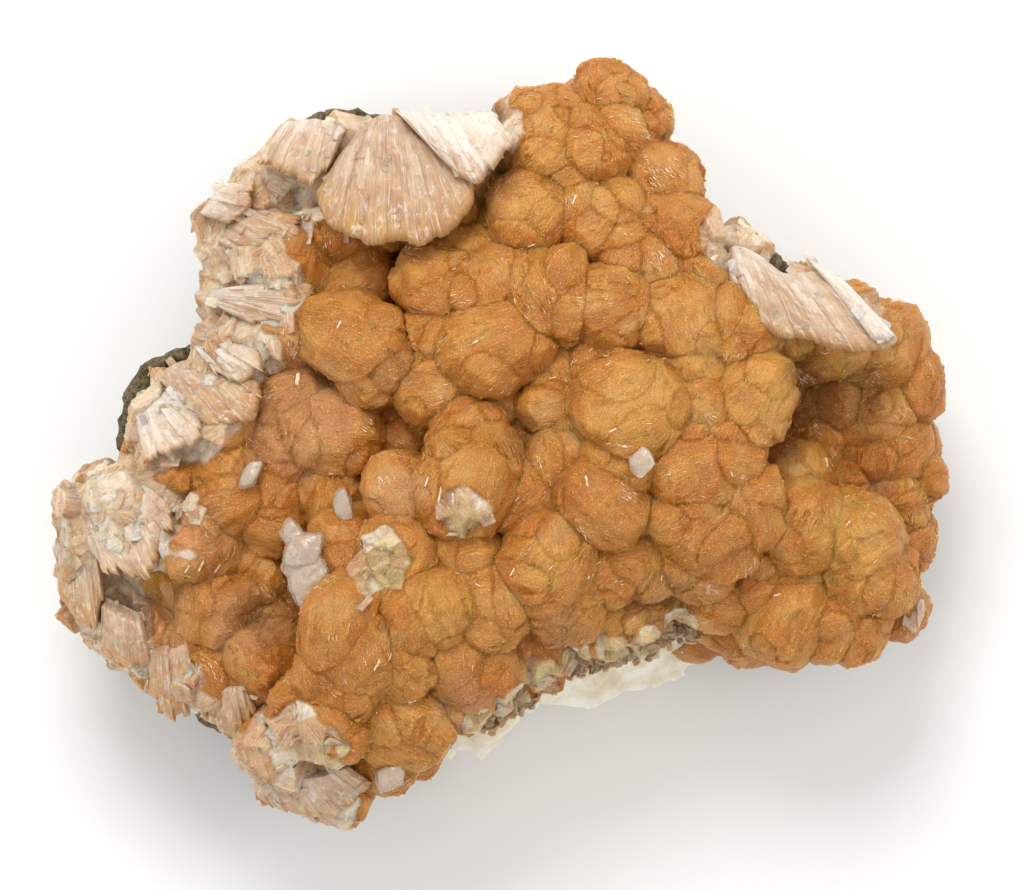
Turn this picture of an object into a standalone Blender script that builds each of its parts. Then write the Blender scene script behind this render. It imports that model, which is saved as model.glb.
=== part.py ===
"""A hand-sized mineral specimen: a crust of amber stilbite sheaves on basalt, with calcite.

The specimen lies on the flat trimmed back of its basalt, with the crystal side up. X runs along
its length, Y across it and Z up. The origin is the middle of the flat back. The tables below are
in millimetres, and every mesh is made in metres.
"""

import math

import bmesh
import bpy
from mathutils import Matrix, Vector

MM = 0.001

# Driving dimensions, in millimetres
ROCK_TOP = 15.0
ROCK_BELLY = 0.42
ROCK_BARE_INSET = 1.2
ROCK_COVERED_INSET = 3.5
ROCK_FOOT_INSET = 5.5
ROCK_RIM_INSET = 0.4
ROCK_CREST = 1.6
ROCK_SHELF_INSET = 7.0
ROOT_HEIGHT = 12.0
ROOT_SHARE = 0.55
TAIL = 9.0
FLANK_PITCH = 6.4
FLANK_RADIUS = 4.3
FLANK_RADIUS_SWING = 0.22
FLANK_RADIUS_WAVE = 2.4
FLANK_DROP = 2.0
FLANK_DROP_SWING = 0.3
FLANK_DROP_WAVE = 1.7
UPPER_FLANK_INSET = 0.95
UPPER_FLANK_DROP = 0.4
LOWER_FLANK_INSET = 1.15
LOWER_FLANK_SIZE = 0.9
LOWEST_SHEAF = 5.5
GAP = 0.35
CRUST_VOXEL = 1.2
CRUST_SHARE_KEPT = 0.13

# The edge of the specimen seen from above: x, y, height of the crust's rim, height of the basalt's
# rim. A crust height of 0 marks the stretch where calcite shows in place of the crust.
EDGE = (
    (-28.9, 43.1, 29, 33), (-22.9, 44.8, 29, 34), (-16.9, 43.9, 31, 33), (-10.3, 42.0, 33, 20),
    (0.4, 43.3, 33, 13), (2.0, 47.1, 30, 12), (7.7, 48.7, 31, 12), (13.7, 51.5, 32, 12),
    (18.4, 48.4, 30, 12), (21.7, 42.4, 31, 12), (26.4, 35.1, 33, 13), (28.0, 30.8, 33, 14),
    (34.0, 26.8, 30, 22), (38.4, 24.3, 28, 38), (45.1, 20.6, 30, 16), (48.9, 18.2, 26, 12),
    (52.4, 19.3, 25, 10), (58.4, 15.1, 24, 10), (59.4, 10.4, 23, 10), (57.0, 1.7, 22, 10),
    (60.0, -2.9, 21, 10), (57.5, -8.0, 20, 10), (58.6, -14.3, 18, 10), (56.5, -20.6, 17, 10),
    (54.0, -27.0, 19, 10), (47.7, -29.4, 23, 10), (42.4, -29.8, 25, 10), (33.7, -29.4, 21, 10),
    (28.0, -27.0, 20, 9), (19.1, -28.5, 0, 8), (11.7, -30.0, 0, 8), (3.1, -31.0, 0, 8),
    (-2.0, -36.0, 0, 9), (-8.3, -39.5, 0, 10), (-10.6, -44.6, 17, 10), (-14.3, -45.6, 23, 11),
    (-17.6, -47.8, 23, 12), (-22.0, -51.2, 18, 13), (-32.0, -47.8, 23, 17), (-34.6, -42.4, 25, 23),
    (-41.6, -38.2, 21, 19), (-46.9, -35.4, 19, 13), (-51.6, -31.8, 17, 12), (-55.8, -27.0, 17, 10),
    (-59.3, -20.3, 19, 10), (-59.0, -15.0, 21, 10), (-60.0, -8.5, 23, 10), (-57.2, -5.0, 21, 12),
    (-52.6, -3.6, 21, 22), (-50.9, 5.7, 21, 28), (-48.9, 10.6, 21, 29), (-43.6, 12.3, 21, 28),
    (-40.5, 15.5, 21, 27), (-39.8, 24.1, 23, 26), (-41.3, 29.7, 25, 17), (-40.3, 33.9, 25, 16),
    (-34.9, 37.9, 27, 16), (-31.0, 41.0, 28, 28),
)

# Stilbite sheaves, each a round-topped bundle of blades: x, y, height of its top, radius
CROWN_SHEAVES = (
    (5.1, 43.9, 38, 4.3), (14.0, 46.7, 40, 4.6), (19.1, 43.1, 36, 3.8), (21.7, 34.4, 42, 4.9),
    (23.7, 28.4, 44, 5.2), (25.1, 23.7, 42, 4.2), (13.1, 39.1, 44, 4.6), (6.4, 39.1, 43, 4.8),
    (9.1, 35.1, 42, 4.4), (3.7, 30.4, 46, 4.9), (11.1, 29.1, 45, 4.4), (15.1, 30.4, 44, 3.6),
    (17.1, 24.4, 45, 4.6),
)
MIDDLE_SHEAVES = (
    (-2.9, 24.1, 41, 3.6), (-8.3, 21.1, 44, 4.6), (-0.3, 20.4, 47, 4.9), (6.4, 19.1, 49, 5.1),
    (14.4, 17.7, 48, 4.9), (-8.3, 15.7, 43, 4.1), (-0.3, 13.1, 50, 6.2), (7.7, 9.1, 44, 3.6),
    (-8.3, 7.7, 44, 4.9), (-1.6, 5.7, 43, 3.6), (7.7, 5.1, 45, 4.1), (2.4, 0.4, 40, 3.3),
    (17.1, 4.4, 52, 6.7), (13.1, 11.1, 45, 3.6), (23.7, 16.4, 47, 5.4), (31.1, 15.1, 44, 4.9),
    (25.1, 9.7, 45, 4.1), (32.4, 5.7, 45, 5.3), (26.4, 4.4, 46, 4.1), (29.1, -0.9, 46, 4.9),
    (25.1, -3.6, 48, 6.1), (26.4, -10.3, 47, 6.6), (31.7, -7.6, 44, 4.6), (25.1, -15.6, 43, 4.6),
    (21.1, -19.6, 33, 3.2), (29.1, -20.9, 36, 3.4), (13.1, -7.6, 51, 6.4), (15.7, -2.3, 48, 3.6),
    (7.7, -2.3, 46, 4.1), (3.7, -6.3, 46, 4.6), (5.7, -15.6, 49, 5.4), (7.7, -20.9, 45, 4.6),
    (14.4, -15.6, 44, 4.6), (18.4, -15.6, 43, 4.1), (13.1, -23.0, 37, 3.9), (18.4, -22.5, 36, 3.3),
)
LOWER_SHEAVES = (
    (-4.3, -4.9, 50, 6.2), (-4.3, 0.4, 46, 4.6), (-13.6, -6.3, 45, 4.1), (-13.6, -14.3, 47, 4.5),
    (-20.3, -13.6, 42, 4.1), (-5.6, -14.3, 44, 4.1), (-1.6, -20.9, 47, 5.3), (-10.3, -21.6, 48, 5.6),
    (-20.3, -26.3, 49, 6.4), (-21.6, -31.6, 45, 4.1), (-13.6, -28.9, 44, 4.6), (-4.3, -28.9, 43, 5.6),
    (2.4, -26.3, 38, 4.6), (5.1, -28.5, 34, 3.2), (-5.6, -35.0, 36, 4.6), (-13.6, -36.9, 42, 5.8),
    (-24.3, -36.9, 45, 5.1), (-16.3, -43.0, 34, 3.3), (-11.5, -42.3, 24, 3.2), (-22.9, -45.9, 32, 4.5),
    (-28.3, -44.4, 33, 4.2), (-29.6, -41.0, 37, 4.0),
)
LEFT_SHEAVES = (
    (-19.6, 13.7, 46, 5.9), (-16.3, 9.7, 44, 4.1), (-22.9, 1.7, 42, 5.7), (-28.3, 5.7, 39, 4.1),
    (-30.9, 0.4, 38, 4.9), (-36.9, -3.6, 38, 4.6), (-22.9, -6.3, 38, 4.6), (-30.9, -8.9, 38, 4.6),
    (-36.3, -7.6, 39, 4.1), (-13.6, 1.7, 36, 3.9), (-33.6, -15.6, 33, 3.5), (-38.3, -22.3, 37, 4.9),
    (-29.6, -23.6, 31, 3.8), (-41.6, -12.9, 40, 4.2), (-32.3, -30.3, 38, 4.4), (-40.3, -29.6, 33, 4.9),
    (-28.3, -31.6, 34, 2.8), (-34.9, -35.2, 30, 3.8), (-46.9, -26.3, 31, 5.4), (-52.3, -24.5, 26, 4.6),
    (-56.4, -15.6, 30, 3.4), (-56.6, -8.4, 30, 3.2), (-55.8, -20.9, 26, 3.2), (-49.6, -10.3, 38, 5.8),
    (-44.3, -3.6, 36, 4.6), (-48.6, -0.9, 32, 3.7), (-42.9, 3.1, 38, 5.4), (-46.2, 5.7, 33, 3.5),
    (-36.9, 6.4, 40, 5.4), (-35.6, 12.4, 39, 4.3), (-28.9, 15.1, 41, 4.8), (-29.6, 24.4, 42, 5.4),
    (-36.3, 28.4, 34, 4.8), (-36.2, 20.4, 32, 3.5), (-33.6, 33.3, 36, 4.6), (-28.3, 38.3, 37, 4.1),
    (-22.9, 38.3, 39, 4.6), (-14.9, 35.1, 43, 5.6), (-8.3, 32.4, 43, 4.8), (-20.3, 31.1, 42, 4.1),
    (-4.3, 37.3, 40, 4.5), (-18.9, 21.7, 37, 4.1), (-10.9, 37.9, 39, 4.1), (-24.3, 28.4, 38, 3.5),
)
RIGHT_SHEAVES = (
    (31.1, 24.9, 37, 3.5), (38.4, 18.6, 42, 5.2), (45.1, 15.9, 41, 4.5), (49.1, 13.9, 38, 2.9),
    (39.7, 7.7, 27, 3.5), (46.4, 7.1, 30, 4.5), (52.8, 13.4, 33, 5.4), (55.0, 8.4, 31, 4.1),
    (51.7, 5.7, 32, 5.3), (44.4, 0.4, 28, 4.5), (53.1, -0.9, 31, 5.3), (57.6, -2.9, 27, 2.4),
    (47.7, -3.6, 27, 4.0), (53.1, -7.6, 28, 4.5), (54.9, -12.9, 25, 3.6), (38.4, 4.4, 24, 2.8),
    (53.1, -16.9, 24, 3.2), (54.2, -22.8, 25, 2.6), (39.1, -4.3, 36, 4.1), (39.7, -11.6, 41, 5.9),
    (47.7, -14.9, 40, 6.0), (50.4, -18.3, 38, 4.4), (38.4, -22.9, 38, 6.1), (43.7, -23.6, 35, 4.1),
    (49.1, -24.4, 32, 4.1), (34.4, -18.3, 37, 4.1), (31.7, -25.5, 29, 3.3), (34.4, -15.6, 38, 3.5),
)

# Broken fans of blades at the torn rim. Each spreads from an apex to a rounded row of tips: x, y and
# height of the apex, heading and spread in degrees, length, height of the tips, thickness
BROKEN_FANS = (
    (-16.9, 42.8, 39.0, -76, 76, 18.5, 46.0, 7.0), (-8.3, 39.7, 42.0, -27, 46, 11.0, 46.5, 5.0),
    (-11.0, 41.5, 38.0, -2, 26, 12.5, 41.0, 5.0), (-24.0, 36.0, 37.0, 128, 80, 9.0, 39.0, 6.0),
    (-35.0, 27.5, 33.0, 165, 100, 6.5, 35.0, 6.0), (-35.6, 25.4, 37.0, 0, 40, 12.0, 39.5, 6.0),
    (-34.3, 16.5, 38.0, -10, 80, 10.5, 42.5, 8.0), (-38.3, 10.8, 39.0, -5, 40, 8.5, 42.5, 5.0),
    (-44.5, 7.5, 36.0, -18, 44, 12.5, 41.0, 6.0), (-46.5, 5.0, 36.0, -70, 60, 8.5, 40.0, 6.0),
    (-54.5, -6.5, 34.0, -48, 84, 13.0, 39.5, 8.0), (-54.8, -6.5, 28.0, -96, 28, 15.0, 29.5, 7.0),
    (-50.5, -19.0, 31.0, -50, 60, 8.0, 34.0, 5.0), (-47.0, -26.5, 28.0, -20, 50, 9.5, 34.0, 6.0),
    (-33.0, -36.8, 33.0, -12, 30, 12.5, 35.0, 6.0), (-26.5, -40.5, 30.0, -88, 76, 9.5, 33.0, 8.0),
    (-20.5, -12.5, 42.0, -45, 70, 10.5, 47.0, 6.0), (-8.0, -4.5, 47.0, -48, 66, 9.5, 51.0, 6.0),
    (31.7, 23.7, 37.5, -56, 52, 10.0, 42.5, 6.0), (37.7, 23.7, 36.5, -38, 40, 16.5, 43.0, 5.5),
    (28.8, 29.7, 36.0, -60, 60, 7.0, 40.0, 6.0), (52.6, -18.5, 24.0, -66, 36, 6.5, 27.0, 4.0),
)
FAN_STEPS = 6
FAN_APEX_WIDTH = 0.12

# The grown-together mass under the sheaves: x, y, height of its top, radius along x, radius along y
CORE_MASSES = (
    (6, 20, 39, 23, 22), (12, -4, 40, 22, 18), (-8, -20, 38, 19, 15), (-26, 10, 33, 19, 20),
    (-34, -14, 31, 20, 16), (-19, 32, 34, 18, 9), (44, 2, 22, 13, 16), (41, -16, 32, 13, 10),
    (12, 38, 34, 10, 9), (-24, -36, 32, 11, 10), (-50, -16, 24, 8, 12), (36, 18, 32, 12, 6),
    (-6, -34, 32, 9, 8),
)
CORE_FLOOR = 9.0

# Sections across the calcite seam: x, y and height of its outer edge, y and height of its shoulder
SEAM_SECTIONS = (
    (-9.0, -41.9, 15, -39.0, 21), (-2.4, -41.4, 14, -38.0, 22), (-1.0, -38.8, 15, -35.6, 23),
    (1.2, -36.7, 16, -33.4, 24), (3.4, -35.3, 17, -31.2, 25), (6.6, -35.4, 16, -29.0, 25),
    (11.7, -36.1, 15, -26.8, 25), (15.7, -33.9, 15, -25.8, 25), (19.1, -33.5, 14, -25.0, 25),
    (23.7, -30.7, 15, -24.2, 25), (27.6, -27.9, 16, -24.0, 24),
)
SEAM_BACK_WIDTH = 7.0
SEAM_BACK_RISE = 1.5
SEAM_BOTTOM = 3.2
SEAM_FOOT_INSET = 4.0

# Small calcite crystals that sit on the stilbite. Each is one or more grown-together rhombs: x, y and
# height of the middle, half sizes along x, y and z, turn about z in degrees
PERCHED_CALCITE = {
    "calcite_crystal_group": (
        (-25.3, -18.0, 39.8, 2.7, 2.5, 2.6, 20), (-25.2, -13.2, 40.8, 1.9, 2.3, 2.2, -12),
        (-28.0, -12.3, 39.8, 1.5, 2.0, 1.6, 35),
    ),
    "calcite_crystal_upper": ((-20.6, -8.4, 40.4, 1.0, 1.9, 1.5, 15),),
    "calcite_crystal_left": ((-32.8, -4.2, 38.6, 0.9, 1.5, 1.2, -20),),
    "calcite_crystal_middle": ((17.9, -2.5, 49.6, 1.3, 1.2, 1.2, 30),),
    "calcite_crystal_lower": ((-14.7, -43.8, 34.8, 1.6, 1.4, 1.4, 10),),
    "calcite_crystal_foot": ((-20.4, -45.6, 32.8, 1.4, 0.9, 1.1, 5),),
}
RHOMB_LEAN = 0.28
RHOMB_EDGE = 0.35


def make_material(name, colour, roughness):
    """A Principled surface of one colour."""
    material = bpy.data.materials.new(name)
    material.use_nodes = True
    surface = material.node_tree.nodes["Principled BSDF"]
    surface.inputs["Base Color"].default_value = (*colour, 1.0)
    surface.inputs["Roughness"].default_value = roughness
    surface.inputs["Metallic"].default_value = 0.0
    return material


def make_object(name, shape, material=None):
    """A scene object from a bmesh, which it frees."""
    bmesh.ops.recalc_face_normals(shape, faces=shape.faces)
    mesh = bpy.data.meshes.new(name)
    shape.to_mesh(mesh)
    shape.free()
    made = bpy.data.objects.new(name, mesh)
    bpy.context.scene.collection.objects.link(made)
    if material:
        mesh.materials.append(material)
    return made


def pulled_in(point, inset):
    """A point of an edge moved towards the specimen's middle by inset."""
    return point * (1.0 - inset / point.length)


def skin_rings(shape, rings, first_centre, last_centre):
    """Skins a stack of closed rings, with a fan of faces at each end."""
    made = [[shape.verts.new(point * MM) for point in ring] for ring in rings]
    count = len(rings[0])
    for lower, upper in zip(made, made[1:]):
        for i in range(count):
            j = (i + 1) % count
            shape.faces.new((lower[i], lower[j], upper[j]))
            shape.faces.new((lower[i], upper[j], upper[i]))
    for ring, centre in ((made[0], first_centre), (made[-1], last_centre)):
        hub = shape.verts.new(centre * MM)
        for i in range(count):
            shape.faces.new((ring[i], ring[(i + 1) % count], hub))


def basalt_shape(grown=0.0):
    """The rock: a flat back, a broken belly, and a rim that climbs where bare rock shows."""
    rings = [[], [], [], [], []]
    for x, y, _, rock in EDGE:
        point = Vector((x, y, 0.0))
        bare = rock > ROCK_TOP
        inset = ROCK_BARE_INSET if bare else ROCK_COVERED_INSET
        inner_growth = grown if bare else -grown
        belly = ROCK_BELLY * min(rock, ROCK_TOP)
        levels = (
            (inset + ROCK_FOOT_INSET - grown, -grown),
            (inset - grown, belly),
            (inset + ROCK_RIM_INSET - grown, rock + grown),
            (inset + ROCK_RIM_INSET + ROCK_CREST + inner_growth, rock + grown),
            (inset + ROCK_SHELF_INSET + inner_growth, ROCK_TOP + grown),
        )
        for ring, (level_inset, height) in zip(rings, levels):
            ring.append(pulled_in(point, level_inset) + Vector((0, 0, height)))
    shape = bmesh.new()
    skin_rings(shape, rings, Vector((0, 0, -grown)), Vector((0, 0, ROCK_TOP + grown)))
    return shape


def calcite_seam_shape(grown=0.0):
    """The white seam: a broken face outside, sloping up to a shoulder, and a flat back inside."""
    sections = []
    for x, edge_y, edge_z, shoulder_y, shoulder_z in SEAM_SECTIONS:
        back_y = shoulder_y + SEAM_BACK_WIDTH + grown
        back_z = shoulder_z + SEAM_BACK_RISE + grown
        corners = (
            (edge_y + SEAM_FOOT_INSET - grown, SEAM_BOTTOM - grown),
            (edge_y - grown, edge_z),
            (shoulder_y - grown, shoulder_z + grown),
            (back_y, back_z),
            (back_y, SEAM_BOTTOM - grown),
        )
        sections.append([Vector((x, y, z)) for y, z in corners])
    for section, outwards in ((sections[0], -grown), (sections[-1], grown)):
        for corner in section:
            corner.x += outwards
    ends = [sum(section, Vector()) / len(section) for section in (sections[0], sections[-1])]
    shape = bmesh.new()
    skin_rings(shape, sections, *ends)
    return shape


def add_sheaf(shape, middle, radius):
    """A round-ended bundle: a ball at middle whose back half is drawn out towards its root."""
    root = Vector((middle.x * ROOT_SHARE, middle.y * ROOT_SHARE, ROOT_HEIGHT))
    axis = (middle - root).normalized()
    tail = min(TAIL, (middle - root).length)
    ball = bmesh.ops.create_icosphere(shape, subdivisions=3, radius=radius)["verts"]
    for vertex in ball:
        if vertex.co.dot(axis) < 0:
            vertex.co -= axis * tail
        vertex.co = (vertex.co + middle) * MM


def add_core_mass(shape, x, y, top, radius_x, radius_y):
    """A flat-lying ellipsoid that fills the inside of the crust."""
    radius_z = (top - CORE_FLOOR) / 2
    middle = Vector((x, y, CORE_FLOOR + radius_z))
    for vertex in bmesh.ops.create_icosphere(shape, subdivisions=4, radius=1.0)["verts"]:
        stretched = Vector((vertex.co.x * radius_x, vertex.co.y * radius_y, vertex.co.z * radius_z))
        vertex.co = (stretched + middle) * MM


def add_broken_fan(shape, x, y, apex_height, heading, spread, length, tip_height, thickness):
    """A wedge that widens from a blunt apex to an arc of tips, with a flat top and a flat underside."""
    reaches = []
    for step in range(FAN_STEPS + 1):
        angle = math.radians(heading + spread * (step / FAN_STEPS - 0.5))
        reaches.append(Vector((math.cos(angle), math.sin(angle), 0)) * length)
    tops = [Vector((x, y, tip_height)) + reach for reach in reaches]
    for reach in (reaches[-1], reaches[0]):
        tops.append(Vector((x, y, apex_height)) + reach * FAN_APEX_WIDTH)
    upper = [shape.verts.new(point * MM) for point in tops]
    lower = [shape.verts.new((point - Vector((0, 0, thickness))) * MM) for point in tops]
    shape.faces.new(upper)
    shape.faces.new(lower)
    for i in range(len(tops)):
        j = (i + 1) % len(tops)
        shape.faces.new((upper[i], upper[j], lower[j], lower[i]))


def flank_sheaves():
    """The middle and radius of each sheaf of the side walls, in two rows round the edge."""
    placed = []
    along = 0.0
    for i, (x, y, rim, _) in enumerate(EDGE):
        next_x, next_y, next_rim, _ = EDGE[(i + 1) % len(EDGE)]
        run = math.hypot(next_x - x, next_y - y)
        while along < run:
            share = along / run
            along += FLANK_PITCH
            if min(rim, next_rim) == 0:
                continue
            point = Vector((x + (next_x - x) * share, y + (next_y - y) * share, 0.0))
            height = rim + (next_rim - rim) * share
            number = len(placed)
            radius = FLANK_RADIUS * (1.0 + FLANK_RADIUS_SWING * math.sin(number * FLANK_RADIUS_WAVE))
            drop = radius * (FLANK_DROP + FLANK_DROP_SWING * math.sin(number * FLANK_DROP_WAVE))
            upper = pulled_in(point, radius * UPPER_FLANK_INSET)
            upper.z = height - radius * UPPER_FLANK_DROP
            lower = pulled_in(point, radius * LOWER_FLANK_INSET)
            lower.z = max(height - drop, LOWEST_SHEAF + radius)
            placed.append((upper, radius))
            placed.append((lower, radius * LOWER_FLANK_SIZE))
        along -= run
    return placed


def crust_shape():
    """Every sheaf and core mass of the crust, still overlapping."""
    shape = bmesh.new()
    for group in (CROWN_SHEAVES, MIDDLE_SHEAVES, LOWER_SHEAVES, LEFT_SHEAVES, RIGHT_SHEAVES):
        for x, y, top, radius in group:
            add_sheaf(shape, Vector((x, y, top - radius)), radius)
    for middle, radius in flank_sheaves():
        add_sheaf(shape, middle, radius)
    for mass in CORE_MASSES:
        add_core_mass(shape, *mass)
    for fan in BROKEN_FANS:
        add_broken_fan(shape, *fan)
    return shape


def rhomb_shape(x, y, z, half_x, half_y, half_z, turn, grown=0.0):
    """One calcite rhomb with blunted edges: a box leaned along its diagonal."""
    shape = bmesh.new()
    bmesh.ops.create_cube(shape, size=2.0)
    facing = Matrix.Rotation(math.radians(turn), 4, "Z")
    for vertex in shape.verts:
        corner = vertex.co
        leaned_x = (corner.x + RHOMB_LEAN * corner.z) * (half_x + grown)
        leaned_y = (corner.y + RHOMB_LEAN * corner.x) * (half_y + grown)
        sized = Vector((leaned_x, leaned_y, corner.z * (half_z + grown)))
        vertex.co = (facing @ sized + Vector((x, y, z))) * MM
    bmesh.ops.bevel(shape, geom=shape.edges[:], offset=RHOMB_EDGE * MM, segments=1, affect="EDGES")
    return shape


def boolean(operation, other):
    """The type and settings of a Boolean modifier."""
    return "BOOLEAN", {"operation": operation, "solver": "EXACT", "object": other}


def settle_mesh(target, *modifiers):
    """Applies modifiers, given as type and settings, and keeps the largest body of the result."""
    for kind, settings in modifiers:
        modifier = target.modifiers.new(kind.title(), kind)
        for key, value in settings.items():
            setattr(modifier, key, value)
    evaluated = target.evaluated_get(bpy.context.evaluated_depsgraph_get())
    mesh = bpy.data.meshes.new_from_object(evaluated)
    target.modifiers.clear()
    target.data = mesh
    keep_largest_body(mesh)


def keep_largest_body(mesh):
    """Removes the crumbs that a cut leaves beside the main body."""
    shape = bmesh.new()
    shape.from_mesh(mesh)
    unseen, bodies = set(shape.verts), []
    while unseen:
        body, edge = set(), [unseen.pop()]
        while edge:
            vertex = edge.pop()
            body.add(vertex)
            near = {link.other_vert(vertex) for link in vertex.link_edges} & unseen
            unseen -= near
            edge.extend(near)
        bodies.append(body)
    bodies.sort(key=len)
    for body in bodies[:-1]:
        bmesh.ops.delete(shape, geom=list(body), context="VERTS")
    bmesh.ops.triangulate(shape, faces=shape.faces)
    shape.to_mesh(mesh)
    shape.free()


def hidden_cutter(name, shape):
    """A helper for cutting a seat, which is not itself part of the specimen."""
    cutter = make_object(name, shape)
    cutter.hide_render = True
    cutter.display_type = "WIRE"
    return cutter


def seat(target, *cutters):
    """Cuts a seat in target with each cutter."""
    settle_mesh(target, *(boolean("DIFFERENCE", cutter) for cutter in cutters))


def fuse(target, voxel, share_kept):
    """Joins the overlapping shapes of a mesh into one closed skin."""
    remesh = ("REMESH", {"mode": "VOXEL", "voxel_size": voxel * MM})
    settle_mesh(target, remesh, ("DECIMATE", {"ratio": share_kept}))


def main():
    for old in list(bpy.data.objects):
        bpy.data.objects.remove(old)
    basalt = make_material("basalt", (0.095, 0.085, 0.06), 0.85)
    calcite = make_material("calcite", (0.72, 0.68, 0.6), 0.45)
    stilbite = make_material("stilbite", (0.58, 0.27, 0.085), 0.4)

    seam = make_object("calcite_seam", calcite_seam_shape(), calcite)
    rock = make_object("basalt_matrix", basalt_shape(), basalt)
    seam_cutter = hidden_cutter("seam_cutter", calcite_seam_shape(GAP))
    rock_cutter = hidden_cutter("rock_cutter", basalt_shape(GAP))
    seat(rock, seam_cutter)
    perched_cutters = []
    for name, rhombs in PERCHED_CALCITE.items():
        crystal, *others = [make_object(name, rhomb_shape(*rhomb), calcite) for rhomb in rhombs]
        settle_mesh(crystal, *(boolean("UNION", other) for other in others))
        for other in others:
            bpy.data.objects.remove(other)
        for rhomb in rhombs:
            perched_cutters.append(hidden_cutter(name + "_cutter", rhomb_shape(*rhomb, GAP)))
    crust = make_object("stilbite_crust", crust_shape(), stilbite)
    fuse(crust, CRUST_VOXEL, CRUST_SHARE_KEPT)
    seat(crust, rock_cutter, seam_cutter, *perched_cutters)


main()
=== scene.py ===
"""Dresses a hand specimen of stilbite with calcite for a studio picture.

The crust of amber sheaves, the torn cream fans, the calcite and the basalt are built over the
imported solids, in the same frame: X along the specimen, Y across it, Z up, origin on the flat back.
The tables are in millimetres, and every mesh is made in metres.
"""

import math

import bmesh
import bpy
import numpy as np
from bpy.props import FloatProperty, FloatVectorProperty, IntProperty, PointerProperty
from mathutils.bvhtree import BVHTree
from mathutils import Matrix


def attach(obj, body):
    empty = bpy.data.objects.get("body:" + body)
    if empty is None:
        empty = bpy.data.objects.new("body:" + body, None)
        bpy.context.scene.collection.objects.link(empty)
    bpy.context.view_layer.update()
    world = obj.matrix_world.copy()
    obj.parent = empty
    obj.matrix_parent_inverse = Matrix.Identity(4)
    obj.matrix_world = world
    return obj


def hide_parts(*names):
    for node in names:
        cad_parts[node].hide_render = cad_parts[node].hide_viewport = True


bl_info = {
    "name": "Stilbite specimen",
    "version": (1, 0, 0),
    "blender": (4, 5, 0),
    "location": "3D View > Sidebar > Specimen",
    "description": "Builds a stilbite and calcite hand specimen with its studio stage",
    "category": "Add Mesh",
}

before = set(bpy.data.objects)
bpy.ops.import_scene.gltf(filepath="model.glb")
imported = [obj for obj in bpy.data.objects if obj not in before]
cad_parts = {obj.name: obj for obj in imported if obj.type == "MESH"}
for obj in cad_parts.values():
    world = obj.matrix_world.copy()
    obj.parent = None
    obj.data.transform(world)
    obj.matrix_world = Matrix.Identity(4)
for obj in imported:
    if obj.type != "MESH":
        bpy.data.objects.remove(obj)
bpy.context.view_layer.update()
MM = 0.001

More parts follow.
